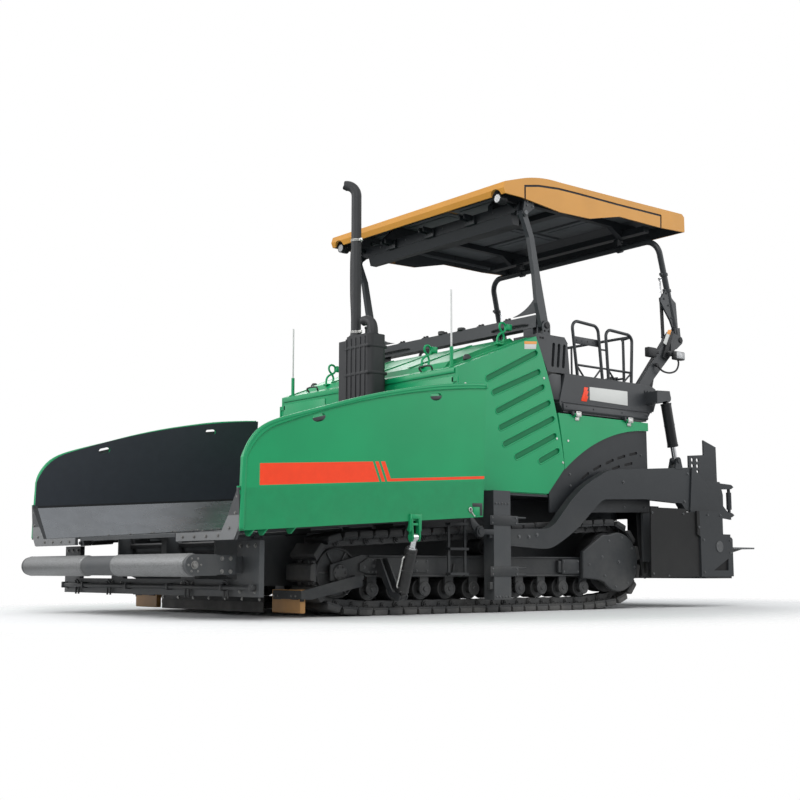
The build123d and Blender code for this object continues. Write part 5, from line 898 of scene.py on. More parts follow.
def chequerMaterial(name, facts):
    # raised bars of tread plate, crossed in pairs
    stuff, tree, shader = startMaterial(name)
    coords = addNode(tree, "ShaderNodeTexCoord")
    heights = []
    for turn, shift in ((math.pi / 4, 0.0), (-math.pi / 4, 0.5)):
        spin = addNode(tree, "ShaderNodeMapping")
        spin.inputs["Rotation"].default_value = (0, 0, turn)
        spin.inputs["Scale"].default_value = (26, 26, 26)
        spin.inputs["Location"].default_value = (shift, shift, 0)
        wire(tree, coords.outputs["Object"], spin.inputs["Vector"])
        parts = addNode(tree, "ShaderNodeSeparateXYZ")
        wire(tree, spin.outputs[0], parts.inputs[0])
        offs = []
        for axis, reach in (("X", 0.34), ("Y", 0.13)):
            loop = mathNode(tree, "SUBTRACT", mathNode(tree, "FRACT", parts.outputs[axis]), 0.5)
            offs.append(mathNode(tree, "DIVIDE", loop, reach))
        size = mathNode(tree, "ADD", mathNode(tree, "MULTIPLY", offs[0], offs[0]),
                        mathNode(tree, "MULTIPLY", offs[1], offs[1]))
        heights.append(rampNode(tree, size, 1.0, 0.55))
    bars = anyOf(tree, *heights)
    dust = placeGroup(tree, settledDust, **{"Low Amount": 0.25, "Top Amount": 0.3, "Reach": 1.5})
    rubbed = mixColour(tree, bars, shade(facts["colour"], 0.7), shade(facts["colour"], 2.2))
    wire(tree, mixColour(tree, dust.outputs["Dust"], rubbed, dustTone), shader.inputs["Base Color"])
    wire(tree, mixValue(tree, bars, 0.55, 0.32), shader.inputs["Roughness"])
    shader.inputs["Metallic"].default_value = 0.6
    addBump(tree, shader, bars, 0.5, 0.0022)
    return stuff


looks["chequerPlate"] = chequerMaterial("chequerPlate", {"colour": (0.10, 0.105, 0.11, 1)})
maskedLooks = {
    "wingPaint": "hopper_wing_left hopper_wing_right", "doorPaint": "side_door_left side_door_right",
    "roofPaint": "canopy_roof", "fenderPaint": "fenders", "endPaint": "screed_ends",
    "chequerPlate": "walkway",
}
dressNodes(maskedLooks)
print("masked finishes")

# hopper wings: half-moon lift holes and rear notch filled with dark plates as painted shade, latch, flange
# bolts, cylinder bracket

slope = 0.0677
across, ahead, up = (0, 1, 0), (1, 0, 0), (0, 0, 1)


def floorHeight(x):
    return 618 + (3068 - x) * slope


def tilted(x, z, tilt, outline):
    turn = math.radians(tilt)
    cos, sin = math.cos(turn), math.sin(turn)
    return [(x + a * cos - b * sin, z + a * sin + b * cos) for a, b in outline]


halfMoon = [(-62, 4), (62, 4), (60, -6), (48, -20), (26, -30), (0, -33), (-26, -30), (-48, -20), (-60, -6)]
cheek = [(1671, 772), (1671, 710), (1640, 650), (1672, 632), (1686, 646), (1687, 700), (1687, 772)]
flangeBolts = ((920, -32), (1080, -32), (1240, -32), (1400, -30), (1540, 18), (1618, 118), (1640, 230))
flangeEdge = ((822, -62), (822, -4), (1436, -4), (1648, 262), (1648, 292), (1660, 292), (1662, 30),
              (1596, -62))
dress("wing_bolts", "boltZinc", [
    (bolts, [(3069, y, floorHeight(3069) + drop) for y, drop in flangeBolts], (1, 0, -slope), 10),
    (bolts, [(925, 1671, 812)], across, 13),
], body="wing", slot="roller_steel", pair=True)
# dark plates in the half-moon holes and the rear notch: painted shade of the openings
dress("wing_notches", "panelGrey", [
    (plate, [(905, 874), (797, 877), (797, 778), (824, 778), (824, 848), (905, 846)], (0, 1670, 0), 4, 0.5),
    (plate, tilted(2409, 1440, -15, halfMoon), (0, 1668.5, 0), 3, 0.8),
    (plate, tilted(1283, 1690, -8, halfMoon), (0, 1668.5, 0), 3, 0.8),
], body="wing", pair=True)
dress("wing_brackets", "bodyGreen", [
    (plate, [(897, 842), (832, 844), (832, 786), (858, 776), (897, 776)], (0, 1671.5, 0), 7, 2),
    # bracket cheeks and cap over the cylinder's upper pin
    *[(bar, [(x, y, z) for y, z in cheek], 18, 3) for x in (1448, 1542)],
    (bar, [(1460, 1669, 738), (1460, 1669, 772), (1460, 1687, 768), (1460, 1688, 734)], 82, 3),
    (bar, [(1460, 1664, 684), (1460, 1664, 702), (1460, 1684, 702), (1460, 1684, 684)], 82, 3),
    # gusset tabs under the wing
    *[(bar, [(x, y, floorHeight(x) + drop)
             for y, drop in ((1630, 2), (1560, -46), (1530, -46), (1500, -10))], 14, 1.5)
      for x in (2910, 2800, 2560)],
], body="wing", slot="green_paint", pair=True)
dress("wing_flanges", "flangeSteel", [
    (bar, [(3062, y, floorHeight(3062) + drop) for y, drop in flangeEdge], 7, 1, 1),
], body="wing", pair=True)
# spring latch that holds the folded wing, hung from its lower rear corner
dress("wing_latches", "latchSteel", [
    (pipe, [(925, 1676, 812), (905, 1676, 790), (880, 1670, 772)], 5, 8),
    (ring, (931, 1676, 822), across, 15, 4.5, 24, 8),
], body="wing", slot="roller_steel", pair=True)
print("wing trim")

# scrapers, rubber apron, push rollers and front frame

dress("scraper_clamps", "deepGrey", [(block, (2268, -768, 108), (2275, 768, 144), 2)], [
    (block, (2258, 910, 132), (2270, 1000, 184), 3),
    (block, (2258, 1140, 132), (2270, 1230, 184), 3),
    (block, (2230, 1246, 118), (2262, 1262, 182), 3),
])
dress("apron_bolts", "latchSteel", [(bolts, line((2275, -738, 126), (2275, 738, 126), 7), ahead, 9)],
      slot="roller_steel")
dress("front_bolts", "boltZinc", (), [
    (bolts, [(2270, y, 158) for y in (928, 982, 1158, 1212)], ahead, 9),
    (bolts, [(2811, y, z) for y, z in ((1290, 200), (1290, 520), (1480, 200), (1480, 520), (1385, 520))],
     ahead, 11),
    (bolts, [(x, 1348, z) for x in (2930, 3000) for z in (340, 430)], across, 11),
    (bolts, [(2811, y, z) for y in (480, 640) for z in (252, 392)], ahead, 10),
    (bolts, [(3219, 1348, 384)], across, 20, 10),
    (bolts, circle((3219, 1348, 384), 50, 6), across, 6),
    (bolts, [(3219, 210, 384)], (0, -1, 0), 20, 10),
    (bolts, circle((3219, 210, 384), 50, 6), (0, -1, 0), 6),
], slot="roller_steel")
hookPath = ((2828, -26, 150), (2828, -26, 240), (2840, -20, 268), (2840, 20, 268), (2828, 26, 240),
            (2828, 26, 150))
# rod hooks bent round the low bar, the draw rod and its eyes, small clevises between the rollers
dress("draw_gear", "frameGrey", [
    *[(pipe, [(x, place + y, z) for x, y, z in hookPath], 8, 10, 4) for place in (-1244, -664, 590, 1130)],
    (rod, (2838, -1500, 226), (2838, 1500, 226), 17, 20, 3),
    (block, (3049, -120, 340), (3064, 120, 440), 4),
], [
    *[(block, (2808, y - 12, 200), (2862, y + 12, 252), 5) for y in (330, 1100, 1480)],
    (block, (3050, 60, 346), (3132, 84, 430), 6),
    (rod, (3110, 52, 388), (3110, 92, 388), 17, 20, 2),
])
# worn ring bands near the ends of each roller
dress("roller_bands", "steelDark",
      [(ring, (3219, y, 384), across, 80.2, 1.6, 48, 6) for y in (262, 300, 1258, 1296)], body="push_roller",
      slot="roller_steel", pair=True)
print("front trim")

# tow guides, tow arms, screed and its end gates

clampHeights = (760, 340)
dress("side_bolts", "boltDark", (), [
    *[(bolts, line((262, 1421, z), (404, 1421, z), 5), across, 8) for z in (900, 132)],
    (bolts, [(x, 1424, z + rise) for z in clampHeights for x in (176, 452) for rise in (22, -22)], across,
     9),
    (bolts, spots(1259, (-679, 1202), (-686, 1100), (-1677, 1429)), across, 8),
    (bolts, spots(1272, (-1690, 940), (-1000, 940), (-1400, 930)), across, 8),
    (bolts, circle((-1280, 1291, 425), 228, 8, 0.2), across, 9),
    (bolts, [(-1280, 1291, 425)], across, 13),
    (bolts, [(-880, 1291, 400)], across, 8),
])
dress("tow_clamps", "frameGrey", (), [
    # clamps round the guide column, with their rods towards the tow arm
    *[(block, (150, 1418, z - 40), (478, 1428, z + 40), 3) for z in clampHeights],
    *[(block, (148, 1330, z + rise), (232, 1424, z + rise + 16), 3) for z in clampHeights
      for rise in (-34, 18)],
    *[(rod, (60, 1420, z + rise), (236, 1420, z + rise), 9, 14, 2) for z in clampHeights
      for rise in (-26, 26)],
    *[(block, (430, 1372, z - 30), (470, 1412, z + 30), 4) for z in (224, 640)],
    # levelling sensor hub and its arm in front of the column
    (rod, (606, 1404, 662), (606, 1452, 662), 46, 32, 4),
    (rod, (606, 1452, 662), (606, 1460, 662), 30, 32, 3),
    (plate, [(640, 640), (690, 700), (720, 780), (700, 792), (660, 760), (600, 708)], (0, 1428, 0), 16, 3),
    (block, (428, 1396, 640), (600, 1424, 684), 5),
])
dress("screed_bolts", "boltDark", (), [
    (bolts, spots(1401, (115, 629), (-3, 631), (-100, 649)), across, 12, 6),
    (bolts, spots(1401, (-1240, 1150), (-2130, 1000), (-2620, 1000), (-2190, 1270)), across, 10),
    (bolts, spots(1465, (-2330, 640), (-2330, 330), (-2750, 640), (-2750, 520), (-2400, 880), (-2600, 880),
                  (-2260, 760)), across, 9),
    (bolts, spots(1453, (-1580, 320), (-1580, 880), (-2040, 880), (-1800, 300)), across, 8),
    (rod, (-2575, 1463, 578), (-2575, 1470, 578), 55, 32, 2),
], body="screed")
print("rear trim")

# hood: seams, lifting hooks, knob, latches, blank plates


def hoodTop(x):
    # height of the sloping bonnet
    return 2036 + (700 - x) * 368 / 948


def louvreRim(shape, start, end):
    # pressed frame round a louvre, rounded like a half tube
    a, b = [Vector((x, 0, z)) for x, z in (start, end)]
    along = (b - a).normalized()
    rise = Vector((-along.z, 0, along.x))
    a, b = a + along * 26, b - along * 26
    loop = []
    for middle, first in ((b, -90), (a, 90)):
        for k in range(9):
            turn = math.radians(first + k * 22.5)
            loop.append(middle + (along * math.cos(turn) + rise * math.sin(turn)) * 29)
    rows = []
    for k, point in enumerate(loop):
        before, after = loop[k - 1], loop[(k + 1) % len(loop)]
        out = (after - before).normalized().cross(Vector(across))
        rows.append([shape.verts.new(point + out * (6 * math.cos(t))
                                     + Vector((0, 1279.5 + 4.5 * math.sin(t), 0)))
                     for t in (math.pi, math.pi * 0.75, math.pi / 2, math.pi * 0.25, 0, -math.pi / 2)])
    joinRows(shape, rows, True)


louvres = (
    ((370, 1961), (-265, 2263)), ((301, 1847), (-299, 2097)), ((256, 1690), (-347, 1967)),
    ((222, 1550), (-421, 1831)), ((177, 1410), (-469, 1692)), ((35, 1310), (-491, 1542)),
    ((-258, 1290), (-526, 1411)))
doorBolts = ((-341, 2038), (-495, 1509), (-568, 1300), (610, 1100), (610, 1900))
eyePath = ((30, 0), (26, 46), (6, 78), (-26, 98), (-62, 116), (-82, 150), (-66, 184), (-30, 192), (-4, 170),
           (-8, 134), (-40, 100), (-56, 60), (-40, 0))
eyes = ((-60, 1010, hoodTop(-60) + 24), (560, 700, hoodTop(560) + 30))
capHeight = hoodTop(430)
# folded rim and cover strips of the bonnet, with the gap lines between its panels
dress("hood_strips", "bodyGreen", [
    *[(plate, [(562, 2129), (-190, 2417), (-186, 2424), (566, 2136)], (0, y, 0), 44, 2)
      for y in (-640, -20, 500)],
    (block, (700, -1250, 1986), (710, 1250, 2030), 4),
    (block, (700, 470, 1500), (708, 1240, 1960), 4),
    (block, (700, -1240, 1500), (708, -560, 1960), 4),
], [
    (plate, [(x, hoodTop(x) + lift) for x, lift in ((690, 0), (690, 9), (-236, 9), (-236, 0))], (0, 1170, 0),
     16, 3),
    (plate, [(604, 2074), (556, 2130), (-186, 2418), (-226, 2398), (-218, 2392), (-186, 2408), (560, 2118),
             (596, 2070)], (0, 1012, 0), 10, 2),
], slot="green_paint")
# eyes bent from rod on small feet, with locking tabs
dress("lift_eyes", "bodyGreen", (), [
    *[(block, (x - 46, y - 26, z - 14), (x + 46, y + 26, z + 4), 4) for x, y, z in eyes],
    *[(pipe, [(x + a, y, z + b) for a, b in eyePath], 10, 10, 4) for x, y, z in eyes],
    *[(block, (x - 140, y - 24, z + 130), (x - 78, y + 24, z + 186), 8) for x, y, z in eyes],
], slot="green_paint")
# air intake knobs, filler caps and the hood's grab handles
dress("caps", "mouldedBlack", [
    (rod, (-395, -140, 2636), (-395, -140, 2672), 34, 24, 5),
    (rod, (-395, 150, 2636), (-395, 150, 2664), 40, 24, 6),
], [
    (rod, (430, 1110, capHeight), (430, 1110, capHeight + 34), 36, 28, 5),
    (rod, (430, 1110, capHeight + 30), (430, 1110, capHeight + 48), 26, 28, 6),
    (pipe, [(640, 900, 2052), (668, 900, 2092), (668, 760, 2092), (640, 760, 2052)], 8, 10, 4),
], slot="dark_plastic")
dress("door_bolts", "latchSteel", [
    *[(rod, (x, 1279, z), (x, 1285, z), 11, 20, 2) for x, z in doorBolts],
    *[(rod, (x, 1284, z), (x, 1288, z), 6, 6, 1) for x, z in doorBolts],
], body="side_door", slot="roller_steel", pair=True)
dress("door_plates", "plateWhite", [
    (plate, [(-100, 2342), (-255, 2358), (-245, 2290), (-100, 2272)], (0, 1280.5, 0), 2, 0.6),
], body="side_door", slot="canopy_paint", pair=True)
dress("door_plate_tops", "signOrange", [
    (plate, [(-100, 2342), (-255, 2358), (-253, 2334), (-100, 2318)], (0, 1281.4, 0), 2, 0.4),
], body="side_door", slot="canopy_paint", pair=True)
dress("louvre_rims", "doorPaint", [(louvreRim, *ends) for ends in louvres], body="side_door",
      slot="green_paint", angle=60, pair=True)
# folding latches over the flap's hinge line
dress("flap_latches", "latchSteel", [
    *[(block, (x - 34, 1302, 1722), (x + 34, 1312, 1772), 5) for x in (-760, -1480)],
    *[(block, (x - 26, 1280, 1690), (x + 26, 1290, 1730), 4) for x in (-760, -1480)],
    *[(rod, (x - 24, 1308, 1764), (x + 24, 1308, 1764), 8, 16, 2) for x in (-760, -1480)],
    (rod, (-640, 1279, 1500), (-640, 1286, 1500), 11, 20, 2),
], body="side_flap", slot="roller_steel", pair=True)
print("hood trim")

# exhaust stack: heat shield, straps, clamps, side elbow and drain tube

strap = ((741, 72), (741, 408), (802, 424), (906, 424), (963, 408), (963, 72), (906, 56), (802, 56))
clamps = (3314, 2466)
dress("stack_fittings", "stackGrey", [
    (rod, (862, 110, 2395), (862, 110, 2440), 66, 40, 6),
    (rod, (862, 110, 2436), (862, 110, 2476), 55, 40, 4, 48),
    # intake elbow beside the pipe
    (pipe, [(852, 345, 2380), (852, 345, 2470), (854, 325, 2530), (858, 275, 2560), (862, 220, 2560)], 44,
     24, 5),
    (ring, (852, 345, 2430), up, 45, 5, 40, 8),
    (rod, (762, 130, 2420), (762, 130, 2520), 9, 16, 2),
    (rod, (762, 130, 2514), (762, 130, 2536), 14, 16, 4),
    # straps and the stiffening ribs of the silencer's jacket
    *[(solid, [[(x, y, level) for x, y in strap] for level in (z, z + 26)], 3) for z in (1830, 2060, 2300)],
    *[(block, (956, y, 1720), (966, y + 12, 2400), 4) for y in range(90, 420, 66)],
], slot="exhaust_steel")
dress("stack_clamps", "latchSteel", [
    *[(ring, (862, 110, z + rise), up, 47, 5, 48, 8) for z in clamps for rise in (0, 12)],
    *[(block, (852, 156, z - 6), (872, 194, z + 20), 4) for z in clamps],
    (bolts, [(872, 178, z + 6) for z in clamps], ahead, 8),
], slot="exhaust_steel")
dress("drain_tube", "gripBlack", [
    (pipe, [(862, 58, 3290), (858, 32, 3210), (856, 24, 3050), (858, 30, 2820), (862, 48, 2640),
            (864, 56, 2480)],
     9, 12, 5),
], slot="exhaust_steel")
# near-black disc in the throat of the outlet: soot and painted shade of the pipe's inside
dress("pipe_throat", "sootBlack", [(rod, (914, 24, 3842), (917.5, 18.2, 3847.5), 39, 32, 0.3)],
      slot="exhaust_steel")
print("stack trim")

# canopy: lamps, beam pads, hinge bolts, ceiling panels and hoop clamps

dress("lamp_rings", "deepGrey", (), [
    (ring, (84, 1150, 3630), ahead, 41, 4, 40, 8),
    *[(ring, (x, 1150, 3630), ahead, 44, 2.2, 36, 6) for x in (16.8, 35.28, 53.76)],
    (block, (10, 1140, 3670), (60, 1160, 3688), 4),
    (pipe, [(-30, 1144, 3630), (16, 1100, 3634), (40, 1094, 3634)], 7, 10, 4),
], body="canopy_roof", slot="lamp_glass")
dress("lamp_lenses", "lensGlass", (), [(rod, (78, 1150, 3630), (88, 1150, 3630), 38, 40, 3)],
      body="canopy_roof", slot="lamp_glass")
panels = ((-640, -380), (-1090, -690), (-1560, -1210), (-1980, -1620))
# pressed ceiling panels between the frames, and the inner lip round the roof
dress("ceiling_panels", "liningGrey", (), [
    *[(block, (x0, 30, 3840), (x1, 735, 3851), 4) for x0, x1 in panels],
    *[(block, (x0 + 60, 90, 3832), (x1 - 60, 675, 3841), 5) for x0, x1 in panels],
    *[(block, (x0, 830, 3838), (x1, 1235, 3851), 4) for x0, x1 in ((-1090, -420), (-1980, -1210))],
    (block, (-2200, 1236, 3760), (-400, 1250, 3790), 4),
], body="canopy_roof", slot="canopy_paint")
dress("roof_bolts", "boltDark", (), [
    (bolts, spots(1241, (-200, 3600), (-270, 3600), (-200, 3636), (-270, 3636)), across, 8),
    (bolts, spots(726, (-2110, 3694), (-2050, 3694)), across, 9),
    (rod, (-180, 1238, 3530), (-180, 1250, 3530), 24, 28, 4),
    (bolts, [(-188, y, 3620) for y in (120, 430, 820)], ahead, 9),
], body="canopy_roof")
# wiring blocks and brackets on the front cross member
dress("roof_brackets", "frameGrey", [
    *[(block, (-188, y - 70, 3560), (-158, y + 70, 3648), 8) for y in (-640, -60, 520)],
    *[(block, (-160, y + shift, 3600), (-60, y + shift + 16, 3650), 5) for y in (-640, -60, 520)
      for shift in (-40, 24)],
], [
    (plate, [(-190, 3650), (-190, 3600), (-70, 3640), (-70, 3652)], (0, 1085, 0), 12, 2),
], body="canopy_roof")
dress("beam_fittings", "deepGrey", (), [
    *[(block, (-440, y - 46, 2634), (-400, y + 46, 2650), 5) for y in (120, 400, 760)],
    *[(rod, (-420, y + shift, 2648), (-420, y + shift, 2664), 14, 16, 4) for y in (120, 400, 760)
      for shift in (-20, 20)],
    (rod, (-430, 1240, 2530), (-430, 1252, 2530), 28, 32, 4),
    (bolts, circle((-430, 1241, 2500), 36, 4, math.pi / 4, 30 / 36), across, 7),
    (bolts, spots(1249, (-340, 2410), (-372, 2410)), across, 8),
    (pipe, [(-368, 600, 2556), (-352, 640, 2562), (-350, 800, 2562), (-352, 1000, 2560), (-368, 1060, 2552)],
     8, 10, 4),
    (rod, (-2350, 1240, 2620), (-2350, 1250, 2620), 26, 28, 4),
])
collars = [(0.2511 * (z - 2680) - 2336, 1200 - 0.0213 * (z - 2680), z) for z in (3270, 3110)]
# collars of the hoop where its struts and plates are clamped
dress("hoop_collars", "railGrey", (), [
    *[(rod, (x - 4, y, z - 16), (x + 4, y, z + 16), 39, 28, 4) for x, y, z in collars],
    *[(block, (x + 26, y - 12, z - 14), (x + 62, y + 12, z + 14), 4) for x, y, z in collars],
    (bolts, [(x + 48, y + 12, z) for x, y, z in collars], across, 8),
    (bolts, spots(1211, (-2296, 2752), (-2258, 2838), (-2216, 2960), (-2150, 3020), (-2190, 3080)), across,
     9),
], body="rear_hoop")
print("canopy trim")

# side consoles: ledges, recess boxes, blank badges, rear lamps and grab loops

cowlEdge = [(-296, 2366), (-296, 2448), (-656, 2448), (-700, 2392), (-690, 2386), (-650, 2438), (-308, 2438),
            (-308, 2366)]
dress("console_trim", "panelGrey", [
    # raised edges of the cowl and the shelf behind it
    (plate, cowlEdge, (0, 1239, 0), 16, 3),
    (plate, cowlEdge, (0, -1247, 0), 16, 3),
], [
    (bar, [(-1780, y, z) for y, z in ((1256, 1772), (1270, 1772), (1276, 1786), (1270, 1836), (1256, 1842))],
     1180, 4),
    (block, (-1850, 1256, 1846), (-590, 1263, 1858), 2),
    (block, (-1852, 1152, 2106), (-650, 1250, 2118), 5),
    # boxed cheek in front of the console, under the cowl
    (plate, [(-596, 1866), (-596, 2098), (-478, 2098), (-424, 2068), (-424, 1884), (-470, 1866)],
     (0, 1240, 0), 18, 4),
    (bolts, [(x, 1272, 1812) for x in (-640, -1000, -1400, -1760)], across, 7),
    (bolts, [(x, 1259, 2050) for x in (-1800, -1760)], across, 9),
], slot="grey_paint")
# thin near-black plates under the cowl: painted shadow
dress("cowl_shadows", "sootBlack", (), [
    (plate, [(-2, 2183), (20, 2183), (2, 2357), (-20, 2357)], (x, 1219, 0), 2, 0) for x in (-500, -570, -640)
], slot="dark_plastic")
dress("side_badges", "plateWhite", (), [
    (plate, [(-966, 2020), (-1498, 2026), (-1498, 1890), (-966, 1898)], (0, 1259.5, 0), 3, 1),
], slot="canopy_paint")
dress("side_flashes", "stripeOrange", (), [
    (plate, [(-848, 1880), (-922, 1880), (-946, 1930), (-928, 1934), (-952, 1978), (-932, 1980),
             (-946, 2012), (-892, 2012), (-884, 1966), (-866, 1930)], (0, 1259.5, 0), 3, 0.6),
], slot="canopy_paint")
# slanted carrier arm: cover plates, hook, dark block and lamp bracket
dress("arm_fittings", "deepGrey", (), [
    (plate, [(-2250, 2700), (-2186, 2690), (-2060, 2420), (-2110, 2400)], (0, 1243, 0), 8, 3),
    (block, (-1904, 1244, 2392), (-1784, 1300, 2486), 10),
    (block, (-1990, 1244, 2440), (-1900, 1262, 2470), 4),
    (pipe, [(-1960, 1250, 2330), (-2010, 1278, 2272), (-2110, 1290, 2262), (-2210, 1290, 2300),
            (-2252, 1286, 2380), (-2236, 1262, 2440)], 9, 10, 5),
    (block, (-2180, 1240, 2436), (-2120, 1290, 2470), 5),
    *[(rod, (x, 1236, z), (x, 1262, z), 20, 20, 4) for x, z in ((-1960, 2330), (-2236, 2446))],
    (plate, [(-1976, 2200), (-1940, 2230), (-1900, 2196), (-1870, 2110), (-1950, 2110)], (0, 1190, 0), 16,
     4),
])
dress("rear_lamps", "mouldedBlack", (), [(block, (-2304, 1268, 2400), (-2160, 1330, 2482), 12, 3)],
      slot="dark_plastic")
dress("rear_lenses", "lensGlass", (), [
    (block, (-2310, 1276, 2408), (-2300, 1322, 2474), 6),
    (block, (-2296, 1326, 2410), (-2170, 1334, 2474), 6),
], slot="lamp_glass")
dress("arm_plates", "plateWhite", (), [
    (plate, [(-2200, 2706), (-2148, 2700), (-2070, 2560), (-2112, 2544)], (0, 1250, 0), 6, 1),
], slot="canopy_paint")
dress("arm_plate_tops", "signOrange", (), [
    (plate, [(-2200, 2706), (-2148, 2700), (-2126, 2660), (-2174, 2652)], (0, 1251, 0), 6, 1),
], slot="canopy_paint")
print("console trim")

# platform: rails with their braces, boards, control desk and seats

deck = 1770
braces = (
    [(-979, 1090, 2250), (-1130, 1086, 2100), (-1350, 1090, 1900)],
    [(-1331, 1090, 2250), (-1180, 1094, 2100), (-1020, 1090, 1920)],
    [(-1423, 1090, 2250), (-1560, 1086, 2120), (-1720, 1090, 1940)],
    [(-1768, 1090, 2250), (-1620, 1094, 2120), (-1470, 1090, 1940)],
    [(-1331, 1090, 2430), (-1375, 1090, 2432), (-1410, 1090, 2430)],
    [(-1331, 1090, 2250), (-1375, 1090, 2252), (-1423, 1090, 2250)])
footBolts = 19 * math.sin(math.pi / 4)
dress("rail_braces", "railGrey", [
    # guard rail behind the seats
    (pipe, [(-1735, 1020, deck + 3), (-1738, 1020, 2520), (-1742, 1000, 2580), (-1742, 940, 2600),
            (-1742, -940, 2600), (-1742, -1000, 2580), (-1738, -1020, 2520), (-1735, -1020, deck + 3)], 14,
            14, 4),
    (pipe, [(-1737, 1016, 2200), (-1740, 0, 2200), (-1737, -1016, 2200)], 11, 12, 2),
], [
    *[(pipe, path, 9, 10, 3) for path in braces],
    (bolts, [(x + a, 1090 + b, deck + 8) for x in (-1040, -1380, -1450, -1740)
             for a in (-footBolts, footBolts)
             for b in (-footBolts, footBolts)], up, 4),
    (rod, (-1737, 340, deck), (-1741, 340, 2592), 11, 14, 2),
], slot="rail_paint")
# drilled boards on the rails, and the tool box
dress("deck_boards", "panelGrey", [
    (block, (-1000, -320, deck), (-760, 320, deck + 300), 14, 3),
    (block, (-1006, -326, deck + 292), (-754, 326, deck + 320), 10, 3),
], [
    (block, (-1332, 1064, 2455), (-978, 1074, 2525), 4),
    *[(bolts, [(x, y, 2490) for x in (-1310, -1240, -1160, -1080, -1010)], (0, way, 0), 6)
      for y, way in ((1064, -1), (1074, 1))],
], slot="grey_paint")
# studded floor mats
dress("floor_mats", "gripBlack", [
    *[(block, (-1150, y - 260, deck - 1), (-760, y + 260, deck + 8), 4) for y in (-820, 0, 820)],
    *[(rod, (-1110 + row * 78, y + column * 74, deck + 6), (-1110 + row * 78, y + column * 74, deck + 12),
       11, 10, 2)
      for y in (-1042, -222, 598) for row in range(5) for column in range(7)],
], slot="dark_plastic")
print("deck trim")

desk = {
    "foot": Vector((-1320, 0, 2370)), "rise": Vector((120, 0, 170)),
    "side": [(-1076, 2328), (-1116, 2534), (-1200, 2546), (-1326, 2372), (-1326, 2326)],
    "dials": ((-220, 0.62, 34), (-140, 0.62, 34), (140, 0.62, 26), (205, 0.62, 26), (262, 0.62, 20)),
    "switches": [(first + 30 * k, share, k) for first in (-250, 60) for share in (0.26, 0.10)
                 for k in range(8)],
}
deskOut = Vector((-desk["rise"].z, 0, desk["rise"].x)).normalized()


def onDesk(y, share, lift=0):
    # the operator stands behind the desk, so its sloping face looks rearwards
    return desk["foot"] + desk["rise"] * share + deskOut * lift + Vector((0, y, 0))


def deskPlate(shape, ends, corners, soft, rings):
    solid(shape, [[onDesk(y, share, lift) for share, lift in corners] for y in ends], soft, rings)


def lever(shape, y):
    lean = Vector((0, y * 0.1, 0))
    rod(shape, onDesk(y, 0.5, 6), onDesk(y, 0.5, 16), 20, 24, 4)
    rod(shape, onDesk(y, 0.5, 12), onDesk(y, 0.5, 74) + lean, 5, 12, 1)
    rod(shape, onDesk(y, 0.5, 70) + lean, onDesk(y, 0.5, 112) + lean * 1.5, 13, 16, 6, 17)


def dialHand(y, share, size):
    # a hand that points its own way on each dial
    reach = size * 0.6
    hand = desk["rise"].normalized() * (abs(math.sin(y)) * reach) + Vector((0, math.cos(y) * reach, 0))
    return (rod, onDesk(y, share, 9), onDesk(y, share, 9.5) + hand, 1.4, 8, 0.2)


dress("desk_shell", "mouldedBlack", [
    (deskPlate, (-322, 322), [(0.04, -2), (0.04, 9), (0.96, 9), (0.96, -2)], 4, 2),
    (block, (-1326, -332, 2322), (-1074, 332, 2336), 5),
    (rod, (-1200, 0, 1768), (-1200, 0, 1800), 190, 48, 8),
], [
    (plate, desk["side"], (0, 326, 0), 12, 5),
    (block, (-1306, 102, 1790), (-1094, 118, 2326), 4),
], slot="dark_plastic", angle=40)
dress("desk_controls", "gripBlack", [
    *[(ring, onDesk(y, share, 10), deskOut, size, 4, 32, 8) for y, share, size in desk["dials"]],
    *[(rod, onDesk(y, share, 2), onDesk(y, share, 7), size - 2, 32, 0.5)
      for y, share, size in desk["dials"]],
    *[(lever, y) for y in (-60, 0, 60)],
    (rod, (-1236, 0, 2462), (-1258, 0, 2478), 26, 24, 3),
], slot="dark_plastic")
dress("dial_faces", "plateWhite", [
    (rod, onDesk(y, share, 6.5), onDesk(y, share, 8), size - 5, 32, 0.2) for y, share, size in desk["dials"]
], slot="lamp_glass")
dress("desk_switches_red", "stripeOrange", [
    *[dialHand(*dial) for dial in desk["dials"]],
    *[(rod, onDesk(y, share, 9), onDesk(y, share, 17), 8, 16, 3) for y, share, k in desk["switches"]
      if k % 3 == 0],
], slot="dark_plastic")
dress("desk_switches", "latchSteel", [
    *[(rod, onDesk(y, share, 9), onDesk(y, share, 13), 9, 16, 1) for y, share, k in desk["switches"]
      if k % 3],
    *[(rod, onDesk(y, share, 12), onDesk(y, share + 0.02, 26), 3.4, 10, 1)
      for y, share, k in desk["switches"] if k % 3],
], slot="roller_steel")
dress("desk_screen", "screenGlass", [
    (deskPlate, (-62, 62), [(0.40, 8), (0.40, 12), (0.90, 12), (0.90, 8)], 3, 2),
], slot="lamp_glass")
print("control desk")

# seats: padded cushions with seams over the plates of the frame

seatTrim = {"x": -1404, "y": 820, "base": 1891, "halfX": 176, "halfY": 206, "thick": 62, "half": 192,
            "seatSeams": (-1464, -1344), "backSeams": (-70, 70),
            "backFoot": (-1572, -1620, 1992), "backHead": (-1588, -1636, 2222)}


def bakeMesh(piece):
    graph = bpy.context.evaluated_depsgraph_get()
    mesh = bpy.data.meshes.new_from_object(piece.evaluated_get(graph))
    piece.modifiers.clear()
    piece.data = mesh
    return mesh


